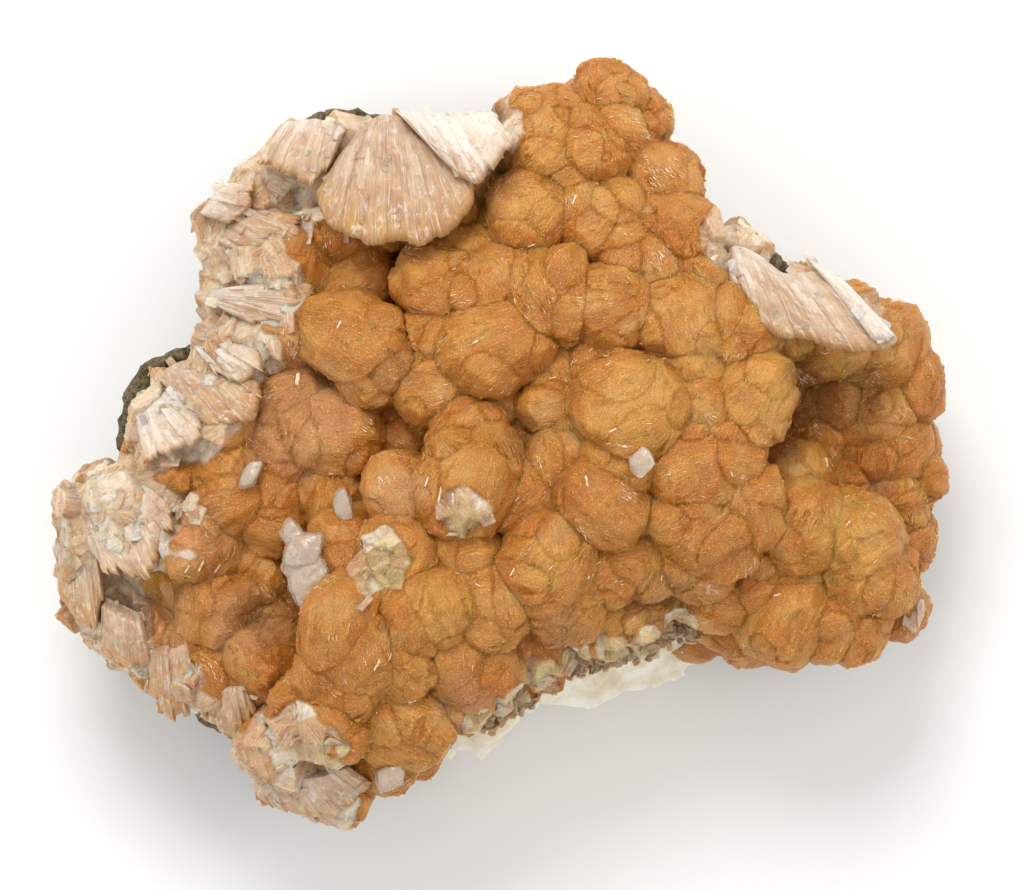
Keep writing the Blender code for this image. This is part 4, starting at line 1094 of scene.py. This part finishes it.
def scatter(name, kind, host, finish, seed, share=1.0):
    """The mesh of blades of one kind that the scatter tree stands on a host mesh.

    Share multiplies the kind's own number of blades.
    """
    wide, deep, dense, smallest, largest, follow, untidiness = BLADE_KINDS[kind]
    tree = bpy.data.node_groups.get("Scatter crystals") or scatter_tree()
    helper = bpy.data.objects.new(name + "_helper", host.copy())
    bpy.context.scene.collection.objects.link(helper)
    pattern = bpy.data.objects.new(name + "_pattern", blade_shape(wide, deep))
    bpy.context.scene.collection.objects.link(pattern)
    modifier = helper.modifiers.new("Scatter", "NODES")
    modifier.node_group = tree
    values = {
        "Crystal": pattern, "Finish": finish, "Seed": seed, "Per square metre": share * dense,
        "Smallest": smallest, "Largest": largest, "Follow surface": follow, "Untidiness": untidiness,
    }
    for item in tree.interface.items_tree:
        if item.in_out == "INPUT" and item.name in values:
            modifier[item.identifier] = values[item.name]
    mesh = evaluated_mesh(helper, name)
    bpy.data.objects.remove(pattern)
    return mesh


def bare_blades(skins):
    """The listed bare blades, each a flat five-sided chip laid on the highest skin under it."""
    trees = []
    for mesh in skins:
        shape = bmesh.new()
        shape.from_mesh(mesh)
        trees.append(BVHTree.FromBMesh(shape))
        shape.free()
    outline = ((-0.5, -0.4), (0.36, -0.5), (0.5, 0.1), (0.4, 0.5), (-0.42, 0.46))
    # The chip's foot is sunk into the skin, and its upper face is smaller
    levels = ((-0.3, 0.9), (0.1, 0.72))
    points, faces = [], []
    for x, y, length, width, heading in BARE_BLADES:
        hits = [tree.ray_cast((x * MM, y * MM, 0.1), (0, 0, -1)) for tree in trees]
        landed = max((hit for hit in hits if hit[0] is not None), key=lambda hit: hit[0].z)
        out = np.array(landed[1])
        turn = math.radians(heading)
        along = unit(np.cross(np.cross(out, (math.cos(turn), math.sin(turn), 0)), out))
        side = np.cross(out, along)
        middle = np.array(landed[0]) / MM
        first = len(points)
        for height, share in levels:
            for a, b in outline:
                spot = middle + along * a * length * share
                points.append(spot + side * b * 0.7 * width * share + out * height)
        for i in range(5):
            j = (i + 1) % 5
            faces += [(first + i, first + j, first + 5 + j), (first + i, first + 5 + j, first + 5 + i)]
        for i in (1, 2, 3):
            faces += [(first, first + i + 1, first + i), (first + 5, first + 5 + i, first + 6 + i)]
    mesh = mesh_from("bare_blades", np.array(points), faces)
    keep(mesh, "grain", np.array(points))
    return mesh


# Torn fans


def edge_line(listed):
    """A row of listed points drawn as a smooth line of evenly spread points, and its length."""
    edge = np.array(listed, float)
    gone = np.concatenate(((0,), np.cumsum(np.linalg.norm(np.diff(edge, axis=0), axis=1))))
    drawn = line_at(edge, gone / gone[-1], np.linspace(0, 1, LINE_POINTS))
    for _ in range(12):
        drawn[1:-1] = (drawn[:-2] + 2 * drawn[1:-1] + drawn[2:]) / 4
    return drawn, gone[-1]


def line_at(line, shares, wanted):
    """Points of a line at the wanted shares of its length, from the shares where its own points lie."""
    return np.stack([np.interp(wanted, shares, line[:, i]) for i in range(3)], -1)


def sheet_grid(sheet, number, cell):
    """One torn sheet of blades as a closed wedge: its points, faces and stored values.

    Turn goes across the sheet from -0.5 to 0.5, and reach from its root edge, 0, to its tips, 1.
    """
    tip_drop, side_drop, dome_height, thinnest = 1.5, 1.0, 1.0, 0.4
    roots, tips, thickness, amber, ragged = sheet
    root_line, root_span = edge_line(roots)
    tip_line, tip_span = edge_line(tips)
    width = max(root_span, tip_span)
    length = float(np.linalg.norm(tip_line - root_line, axis=1).mean())
    across, out = max(12, int(width / cell)), max(10, int(length / (cell * 1.4)))
    turn = np.linspace(-0.5, 0.5, across + 1)[:, None]
    reach = np.linspace(0.0, 1.0, out + 1)[None]
    blank = np.zeros_like(turn + reach)
    strip = turn * width
    shares = np.linspace(0, 1, LINE_POINTS)
    root, tip = (line_at(line, shares, turn[:, 0] + 0.5)[:, None] for line in (root_line, tip_line))
    span = tip - root

    def grid(*parts):
        """Three numbers for each point of the sheet, one point to a row."""
        return np.stack([part + blank for part in parts], -1).reshape(-1, 3)

    wander = 0.3 * smooth_noise(grid(strip, reach * length / 3, number), 2).reshape(blank.shape)

    def packet(size, seed, run=0.0):
        """A repeatable number for each packet of blades of a size, which ends after a run."""
        cells = np.floor((strip + wander) / size)
        start = lattice(grid(cells, 0, 0), seed).reshape(blank.shape)
        pieces = np.floor(reach * length * run + 3 * start)
        return lattice(grid(cells, number, pieces), seed).reshape(blank.shape)

    # Packets 2.4, 0.9 and 0.4 mm wide, and tips that are scalloped where whole and jagged where torn
    broad, medium, fine = packet(2.4, 1, 0.16), packet(0.9, 2, 0.2), packet(0.4, 3, 0.3)
    scallop = smooth_noise(grid(strip / 2.3, number, 0), 6).reshape(blank.shape)
    jagged = 0.24 * (packet(2.6, 1) - 1) + 0.16 * (packet(1.5, 7) - 0.5)
    far = 0.97 + (0.4 * scallop * (1 - ragged) + 0.2 * (packet(0.9, 8) - 0.5)) / length + jagged * ragged
    path = reach * far
    # The last eighth of the reach is rounded down to the tips, and the outer twentieths to the sides
    lobe_edge = np.sqrt(np.clip(1 - np.clip((reach - 0.88) / 0.12, 0, 1) ** 2, 0, 1))
    sides = np.clip(np.abs(2 * turn) - 0.9, 0, 1) / 0.1
    relief = 0.14 * (medium - 0.5) + 0.06 * (fine - 0.5) + (0.3 + 0.7 * ragged) * (broad - 0.5)
    relief = relief + 0.25 * scallop * reach
    dome = dome_height * np.sin(math.pi * np.clip(reach, 0, 1)) * (1 - (2 * turn) ** 2)
    rise = root[..., 2] + span[..., 2] * path - ROOT_SUNK * (1 - smooth_step(reach / 0.2))
    top = rise + relief + dome - tip_drop * (1 - lobe_edge) - side_drop * sides
    bottom = rise - thickness * (1 - 0.7 * reach**1.4) * (0.5 + 0.5 * lobe_edge)
    flat_x, flat_y = (root[..., i] + span[..., i] * path for i in range(2))
    upper = grid(flat_x, flat_y, top)
    lower = grid(flat_x, flat_y, np.minimum(bottom, top - thinnest))
    # Faces of the top, of the underside, and of the wall round both
    rows, columns = across + 1, out + 1
    index = np.arange(rows * columns).reshape(rows, columns)
    corners = (index[:-1, :-1], index[:-1, 1:], index[1:, 1:], index[1:, :-1])
    quads = np.stack(corners, -1).reshape(-1, 4)
    under = quads[:, ::-1] + rows * columns
    ring = np.concatenate((index[0, :-1], index[:-1, -1], index[-1, :0:-1], index[:0:-1, 0]))
    after = np.roll(ring, -1)
    wall = np.stack((after, ring, ring + rows * columns, after + rows * columns), -1)
    # What the material and the scatter tree read, the same above and below
    heading = unit(grid(span[..., 0], span[..., 1], 0))
    warm = max(amber, 0.0)
    rim = np.clip(reach * 1.2 - 0.3, 0, 1) * (0.3 + 0.6 * warm) * (1.0 if amber >= 0 else 0.4)
    rim = rim + np.clip((reach - 0.8) / 0.16, 0, 1) * 0.5 + 0.45 * max(0.0, amber - 0.5)
    white = 0.8 * (1 - warm) * (0.75 - reach) + max(-amber, 0.0) + 0.5 * (medium - 0.5)
    values = {
        "rim": (rim + blank).ravel(),
        "tone": (0.7 * broad * (0.4 + warm) + 0.3 * fine).ravel(),
        "white": np.clip(white, 0, 1).ravel(),
        "open": np.full(blank.size, 1.0),
        "grain": grid(reach * length, strip + wander + number * 40, medium * 3),
        "outward": heading,
        "along": np.stack((-heading[:, 1], heading[:, 0], heading[:, 2]), -1),
    }
    doubled = {key: np.concatenate((value, value)) for key, value in values.items()}
    doubled["open"][blank.size :] = 0.3
    return np.concatenate((upper, lower)), np.concatenate((quads, under, wall)), doubled


def sheets_mesh(name, sheets, cell):
    """Several torn sheets in one mesh, with their stored values."""
    grids = [sheet_grid(sheet, number, cell) for number, sheet in enumerate(sheets)]
    mesh = mesh_from(name, *joined([(points, faces) for points, faces, _ in grids]))
    for key in grids[0][2]:
        keep(mesh, key, np.concatenate([values[key] for _, _, values in grids]))
    return mesh


# Calcite and basalt


def rhomb(middle, halves, turn, tilt, soft=0.0):
    """Points and triangles of one calcite rhomb. Soft rounds it, from 0 for sharp to 1 for an egg."""
    shape = bmesh.new()
    bmesh.ops.create_cube(shape, size=2.0)
    bmesh.ops.subdivide_edges(shape, edges=shape.edges[:], cuts=3, use_grid_fill=True)
    bmesh.ops.triangulate(shape, faces=shape.faces)
    points, faces = arrays_of(shape)
    points = points * (1 - soft) + unit(points) * 1.25 * soft
    x, y, z = points.T
    points = np.stack((x + RHOMB_LEAN * z, y + RHOMB_LEAN * x, z), -1) * halves
    for angle, first, second in ((tilt[0], 1, 2), (tilt[1], 2, 0), (turn, 0, 1)):
        cos, sin = math.cos(math.radians(angle)), math.sin(math.radians(angle))
        a, b = points[:, first].copy(), points[:, second].copy()
        points[:, first] = a * cos - b * sin
        points[:, second] = a * sin + b * cos
    return points + middle, faces


def skinned(rings, centres):
    """Points and triangles of a stack of closed rings, with a fan of faces at each end."""
    count = len(rings[0])
    points = np.concatenate((np.concatenate(rings), centres))
    faces = []
    for level in range(len(rings) - 1):
        for i in range(count):
            a, b = level * count + i, level * count + (i + 1) % count
            faces += [(a, b, b + count), (a, b + count, a + count)]
    last = (len(rings) - 1) * count
    for i in range(count):
        j = (i + 1) % count
        faces += [(j, i, len(points) - 2), (last + i, last + j, len(points) - 1)]
    return points, np.array(faces)


def seam_sections():
    """The outlines across the calcite seam, from its left end to its right."""
    sections = []
    for x, edge_y, edge_z, shoulder_y, shoulder_z in SEAM_SECTIONS:
        back = shoulder_y + SEAM_BACK_WIDTH
        corners = (
            (edge_y + SEAM_FOOT_INSET, SEAM_BOTTOM), (edge_y, edge_z), (shoulder_y, shoulder_z),
            (back, shoulder_z + 1.5), (back, SEAM_BOTTOM),
        )
        sections.append(np.array([(x, y, z) for y, z in corners]))
    return sections


def seam_rhombs(sections, largest, rng):
    """Cleavage rhombs set over the seam's three outer faces: the foot, the shoulder and the top."""
    rhombs = []
    for _ in range(SEAM_RHOMBS):
        place = rng.uniform(0, len(sections) - 1.001)
        low, share = int(place), place % 1
        section = sections[low] * (1 - share) + sections[low + 1] * share
        side = rng.choice(3, p=(0.3, 0.45, 0.25))
        part = rng.uniform()
        middle = section[side] * (1 - part) + section[side + 1] * part
        halves = rng.uniform(0.45, 1.0) * largest * rng.uniform(0.7, 1.1, 3)
        middle += (0, halves[1] * 0.85, -halves[2] * 0.35)
        tilt = (14 + rng.normal(0, 7), -10 + rng.normal(0, 7))
        rhombs.append(rhomb(middle, halves, 30 + rng.normal(0, 9), tilt))
    return rhombs


def fringe_ribbon():
    """A narrow strip along the contact between calcite and crust, where small yellow blades stand."""
    below, above = (1.7, (0, 0, 0.2)), (0.7, (0, 0, 1.0))
    path = np.array(FRINGE, float)
    run = unit(np.gradient(path, axis=0))
    side = np.stack((-run[:, 1], run[:, 0], np.zeros(len(run))), -1)
    points, faces = [], []
    for i, point in enumerate(path):
        points += [point - side[i] * below[0] + below[1], point + side[i] * above[0] + above[1]]
        if i:
            a = 2 * (i - 1)
            faces.append((a, a + 2, a + 3, a + 1))
    mesh = mesh_from("fringe_ribbon", np.array(points), faces)
    count = len(points)
    keep(mesh, "open", np.ones(count))
    keep(mesh, "along", np.repeat(run, 2, axis=0))
    keep(mesh, "outward", np.tile((0.0, -1.0, 0.5), (count, 1)))
    keep(mesh, "grain", np.array(points))
    keep(mesh, "rim", np.full(count, 0.75))
    keep(mesh, "white", np.full(count, 0.3))
    return mesh


def rock_rings():
    """The rock's outline at its back, belly, rim, crest and shelf."""
    rings = [[], [], [], [], []]
    for x, y, _, rock in EDGE:
        point = np.array((x, y))
        inset = 0.9 if rock > ROCK_TOP else 3.2
        belly = 0.42 * min(rock, ROCK_TOP)
        levels = (
            (inset + 5.5, 0.0), (inset, belly), (inset + 0.4, rock), (inset + 2.2, rock),
            (inset + 7.0, ROCK_TOP),
        )
        for ring, (depth, height) in zip(rings, levels):
            ring.append((*(point * (1 - depth / np.linalg.norm(point))), height))
    return [np.array(ring) for ring in rings]


# Settings


def colour_property(name, description, hex_colour):
    """A colour that a user can change, given as an sRGB hex value."""
    return FloatVectorProperty(
        name=name, description=description, subtype="COLOR", size=3, min=0, max=1,
        default=linear(hex_colour)[:3],
    )


def length_property(name, description, default, least, most, digits=4):
    """A length that a user can change, in metres."""
    return FloatProperty(
        name=name, description=description, default=default, min=least, max=most, subtype="DISTANCE",
        unit="LENGTH", precision=digits,
    )


class StilbiteSettings(bpy.types.PropertyGroup):
    """What a user would change about the stilbite."""

    detail: length_property(
        "Skin detail", "Cell size of the fused skin of the sheaves", 0.0004, 0.0002, 0.002, 5
    )
    relief: FloatProperty(
        name="Blade relief", description="How strongly blade packets stand out", default=1.0, min=0.0, max=3.0
    )
    shoots: IntProperty(
        name="Shoots", description="Smaller lobes that bud from each sheaf", default=5, min=0, max=12
    )
    blades: FloatProperty(
        name="Blades", description="Standing blades on each square millimetre", default=0.14, min=0.0, max=3.0
    )
    amber: colour_property("Amber", "Body colour of the lobes", "#c68430")
    gold: colour_property("Gold", "Yellower lobes and tips", "#d6a046")
    # Deep amber is a painted shade, for the creases and for the sides of lobes turned from their tops
    deep: colour_property("Deep amber", "Colour in the creases", "#bd7114")
    pink: colour_property("Pink", "Pinkish lobes and broken faces", "#c48f66")
    cream: colour_property("Cream", "Torn blades", "#f1e2cf")


class CalciteSettings(bpy.types.PropertyGroup):
    """What a user would change about the calcite."""

    grain: length_property("Cleavage size", "Half size of the largest cleavage rhombs", 0.003, 0.0005, 0.01)
    white: colour_property("White", "Clean vein calcite", "#fbf4e6")


class BasaltSettings(bpy.types.PropertyGroup):
    """What a user would change about the basalt."""

    detail: length_property("Skin detail", "Cell size of the rock's skin", 0.0009, 0.0004, 0.004)
    dark: colour_property("Dark", "Dark grains", "#37301f")
    light: colour_property("Light", "Weathered grains", "#a3926e")


class StageSettings(bpy.types.PropertyGroup):
    """What a user would change about the stage."""

    lens: FloatProperty(
        name="Lens", description="Focal length of the camera", default=160.0, min=20.0, max=400.0,
        unit="CAMERA",
    )
    view_width: length_property(
        "View width", "Width that the picture covers at the specimen's middle height", 0.1365, 0.05, 0.5
    )
    key_power: FloatProperty(
        name="Key light", description="Power of the large soft light", default=3.6, min=0.0, subtype="POWER",
        unit="POWER",
    )
    floor: colour_property("Floor", "Paper under the specimen", "#f7f7f5")


# Operators


class SPECIMEN_OT_sheaves(bpy.types.Operator):
    """Builds the grown stilbite lobes in six groups, with the blades that stand on them"""

    bl_idname = "specimen.sheaves"
    bl_label = "Stilbite sheaves"

    def execute(self, context):
        settings = context.scene.stilbite
        skin = stilbite_surface("Stilbite, grown blade ends", settings, roughness=0.36, glint=0.5)
        tips = stilbite_surface("Stilbite, single blades", settings, roughness=0.26, glint=0.1)
        pearl = pearly_surface()
        painted_glint = glint_blade_surface()
        voxel = settings.detail / MM * 1.0
        skins = []
        for number, (group, sheaves) in enumerate(SHEAVES.items()):
            rng = np.random.default_rng(SEEDS["sheaves"] + number)
            lobes = lobes_from(sheaves, rng, settings.shoots)
            mesh = fused(f"stilbite_{group}", *heap(lobes), voxel)
            plated, streaked = grow_blades(mesh, lobes, settings.relief)
            kinds = (
                ("blades", mesh, tips, settings.blades), ("plates", plated, pearl, 1.0),
                ("streaks", streaked, painted_glint, 1.0),
            )
            standing = [
                scatter(f"stilbite_{group}_{kind}", kind, host, finish, SEEDS[kind] + number, share)
                for kind, host, finish, share in kinds
            ]
            show(mesh, skin, "stilbite_crust")
            skins.append(mesh)
            for blades, (kind, _, finish, _) in zip(standing, kinds):
                # A group in which nothing is torn has no plates
                if blades.polygons or kind != "plates":
                    show(blades, finish, "stilbite_crust", smooth=False)
        show(bare_blades(skins), painted_glint, "stilbite_crust", smooth=False)
        return {"FINISHED"}


class SPECIMEN_OT_core(bpy.types.Operator):
    """Builds the inside of the crust and the sheaves of its side walls"""

    bl_idname = "specimen.core"
    bl_label = "Crust core and side walls"

    def execute(self, context):
        settings = context.scene.stilbite
        rng = np.random.default_rng(SEEDS["core"])
        lobes = lobes_from(flank_lobes(rng), rng, shoots=4)
        voxel = settings.detail / MM * 1.7
        mesh = fused("stilbite_core", *joined((heap(lobes), core_heap())), voxel)
        grow_blades(mesh, lobes, settings.relief)
        show(mesh, bpy.data.materials["Stilbite, grown blade ends"], "stilbite_crust")
        return {"FINISHED"}


class SPECIMEN_OT_fans(bpy.types.Operator):
    """Builds the torn fans round the rim from broken sheets, with loose splinters on them"""

    bl_idname = "specimen.fans"
    bl_label = "Torn fans"

    def execute(self, context):
        pearl = bpy.data.materials["Stilbite, torn along its blades"]
        for name, sheets in BROKEN_SHEETS.items():
            mesh = sheets_mesh(f"torn_fans_{name}", sheets, 0.22)
            splinters = scatter(f"torn_fans_{name}_splinters", "splinters", mesh, pearl, SEEDS["splinters"])
            mesh.set_sharp_from_angle(angle=math.radians(38))
            show(mesh, pearl, "stilbite_crust")
            show(splinters, pearl, "stilbite_crust", smooth=False)
        return {"FINISHED"}


class SPECIMEN_OT_seam(bpy.types.Operator):
    """Builds the white calcite seam from cleavage rhombs, and the yellow fringe along it"""

    bl_idname = "specimen.seam"
    bl_label = "Calcite seam"

    def execute(self, context):
        settings = context.scene.calcite
        sections = seam_sections()
        body = skinned(sections, (sections[0].mean(0), sections[-1].mean(0)))
        rhombs = seam_rhombs(sections, settings.grain / MM, np.random.default_rng(SEEDS["seam"]))
        mesh = fused("calcite_seam_mass", *joined((*rhombs, body)), 0.32)
        points = points_of(mesh)
        moved = points + normals_of(mesh) * 0.16 * smooth_noise(points / 1.4, 12)[:, None]
        moved[:, 2] = np.maximum(moved[:, 2], LOWEST_SKIN)
        move_points(mesh, moved)
        mesh.set_sharp_from_angle(angle=math.radians(28))
        show(mesh, massive_calcite_surface(settings), "calcite_seam")
        pearl = bpy.data.materials["Stilbite, torn along its blades"]
        fringe = scatter("seam_fringe", "fringe", fringe_ribbon(), pearl, SEEDS["fringe"])
        show(fringe, pearl, "stilbite_crust", smooth=False)
        return {"FINISHED"}


class SPECIMEN_OT_perched(bpy.types.Operator):
    """Builds the small clear calcite crystals that sit on the stilbite"""

    bl_idname = "specimen.perched"
    bl_label = "Perched calcite"

    def execute(self, context):
        clear = clear_calcite_surface()
        for name, rhombs in PERCHED_CALCITE.items():
            shapes = [
                rhomb((x, y, z), np.array((a, b, c)) * 1.15, turn, tilt=(turn * 0.4, -12.0), soft=0.6)
                for x, y, z, a, b, c, turn in rhombs
            ]
            mesh = fused(name + "_clear", *joined(shapes), 0.16)
            points = points_of(mesh)
            move_points(mesh, points + normals_of(mesh) * 0.16 * smooth_noise(points / 0.9, 9)[:, None])
            show(mesh, clear, name)
        return {"FINISHED"}


class SPECIMEN_OT_basalt(bpy.types.Operator):
    """Builds the broken basalt behind the crust"""

    bl_idname = "specimen.basalt"
    bl_label = "Basalt"

    def execute(self, context):
        settings = context.scene.basalt
        voxel = settings.detail / MM * 1
        mesh = fused("basalt_rock", *skinned(rock_rings(), ((0, 0, 0), (0, 0, ROCK_TOP))), voxel)
        points = points_of(mesh)
        # In millimetres: broad lumps, small lumps, and flat chips about 3 mm across at different heights
        chips = lattice(np.floor(points / 3.1 + smooth_noise(points / 4.0, 2)[:, None] * 0.8), 4)
        rise = 0.9 * smooth_noise(points / 5.0, 1) + 0.5 * smooth_noise(points / 1.6, 3) + 0.7 * (chips - 0.5)
        free = smooth_step(points[:, 2] / 3.0)
        moved = points + normals_of(mesh) * (rise * free)[:, None]
        moved[:, 2] = np.maximum(moved[:, 2], 0.0)
        move_points(mesh, moved)
        show(mesh, basalt_surface(settings), "basalt_matrix")
        return {"FINISHED"}


class SPECIMEN_OT_stage(bpy.types.Operator):
    """Lays the paper, hangs the soft lights and sets the camera over the specimen"""

    bl_idname = "specimen.stage"
    bl_label = "Stage"

    def execute(self, context):
        settings = context.scene.stage
        scene = context.scene
        floor = bpy.data.meshes.new("paper")
        corners = [(x * PAPER_HALF, y * PAPER_HALF, 0) for x, y in ((-1, -1), (1, -1), (1, 1), (-1, 1))]
        floor.from_pydata(corners, [], [(0, 1, 2, 3)])
        floor.materials.append(paper_surface(settings))
        paper = bpy.data.objects.new("paper", floor)
        scene.collection.objects.link(paper)
        for name, place, size, share in LIGHTS:
            light = bpy.data.lights.new(name, "AREA")
            light.shape = "DISK"
            light.size = size
            light.energy = settings.key_power * share
            lamp = bpy.data.objects.new(name, light)
            lamp.location = place
            lamp.rotation_euler = (-lamp.location).to_track_quat("-Z", "Y").to_euler()
            scene.collection.objects.link(lamp)
        world = bpy.data.worlds.new("Studio")
        world.use_nodes = True
        background = world.node_tree.nodes["Background"]
        background.inputs["Color"].default_value = linear("#ffffff")
        background.inputs["Strength"].default_value = STUDIO_WALLS
        scene.world = world
        scene.view_settings.view_transform = "Standard"
        camera = bpy.data.cameras.new("camera")
        camera.lens = settings.lens
        camera.clip_start = 0.01
        view = bpy.data.objects.new("camera", camera)
        x, y, middle_height = CAMERA_AIM
        distance = settings.view_width * settings.lens / camera.sensor_width
        view.location = (x, y, middle_height + distance)
        scene.collection.objects.link(view)
        scene.camera = view
        return {"FINISHED"}


class SPECIMEN_PT_panel(bpy.types.Panel):
    """Lists the pieces and their settings"""

    bl_idname = "SPECIMEN_PT_panel"
    bl_label = "Specimen"
    bl_space_type = "VIEW_3D"
    bl_region_type = "UI"
    bl_category = "Specimen"

    def draw(self, context):
        for group, operators in PANEL_ROWS:
            box = self.layout.box()
            for operator in operators:
                box.operator(operator.bl_idname)
            for name in group_settings(context.scene, group):
                box.prop(getattr(context.scene, group), name)


def group_settings(scene, group):
    """The names of a settings group's own properties."""
    listed = getattr(scene, group).bl_rna.properties.keys()
    return [name for name in listed if name not in ("rna_type", "name")]


PANEL_ROWS = (
    ("stilbite", (SPECIMEN_OT_sheaves, SPECIMEN_OT_core, SPECIMEN_OT_fans)),
    ("calcite", (SPECIMEN_OT_seam, SPECIMEN_OT_perched)),
    ("basalt", (SPECIMEN_OT_basalt,)),
    ("stage", (SPECIMEN_OT_stage,)),
)
SETTINGS = {
    "stilbite": StilbiteSettings, "calcite": CalciteSettings, "basalt": BasaltSettings,
    "stage": StageSettings,
}


def register():
    """Registers the settings, the operators and the panel."""
    for name, settings in SETTINGS.items():
        bpy.utils.register_class(settings)
        setattr(bpy.types.Scene, name, PointerProperty(type=settings))
    for _, operators in PANEL_ROWS:
        for operator in operators:
            bpy.utils.register_class(operator)
    bpy.utils.register_class(SPECIMEN_PT_panel)


def unregister():
    """Undoes register."""
    bpy.utils.unregister_class(SPECIMEN_PT_panel)
    for _, operators in PANEL_ROWS:
        for operator in operators:
            bpy.utils.unregister_class(operator)
    for name, settings in SETTINGS.items():
        delattr(bpy.types.Scene, name)
        bpy.utils.unregister_class(settings)


def main():
    """Builds every piece and the stage."""
    register()
    bpy.ops.specimen.sheaves()
    bpy.ops.specimen.core()
    bpy.ops.specimen.fans()
    bpy.ops.specimen.seam()
    bpy.ops.specimen.perched()
    bpy.ops.specimen.basalt()
    bpy.ops.specimen.stage()


if __name__ == "__main__":
    main()
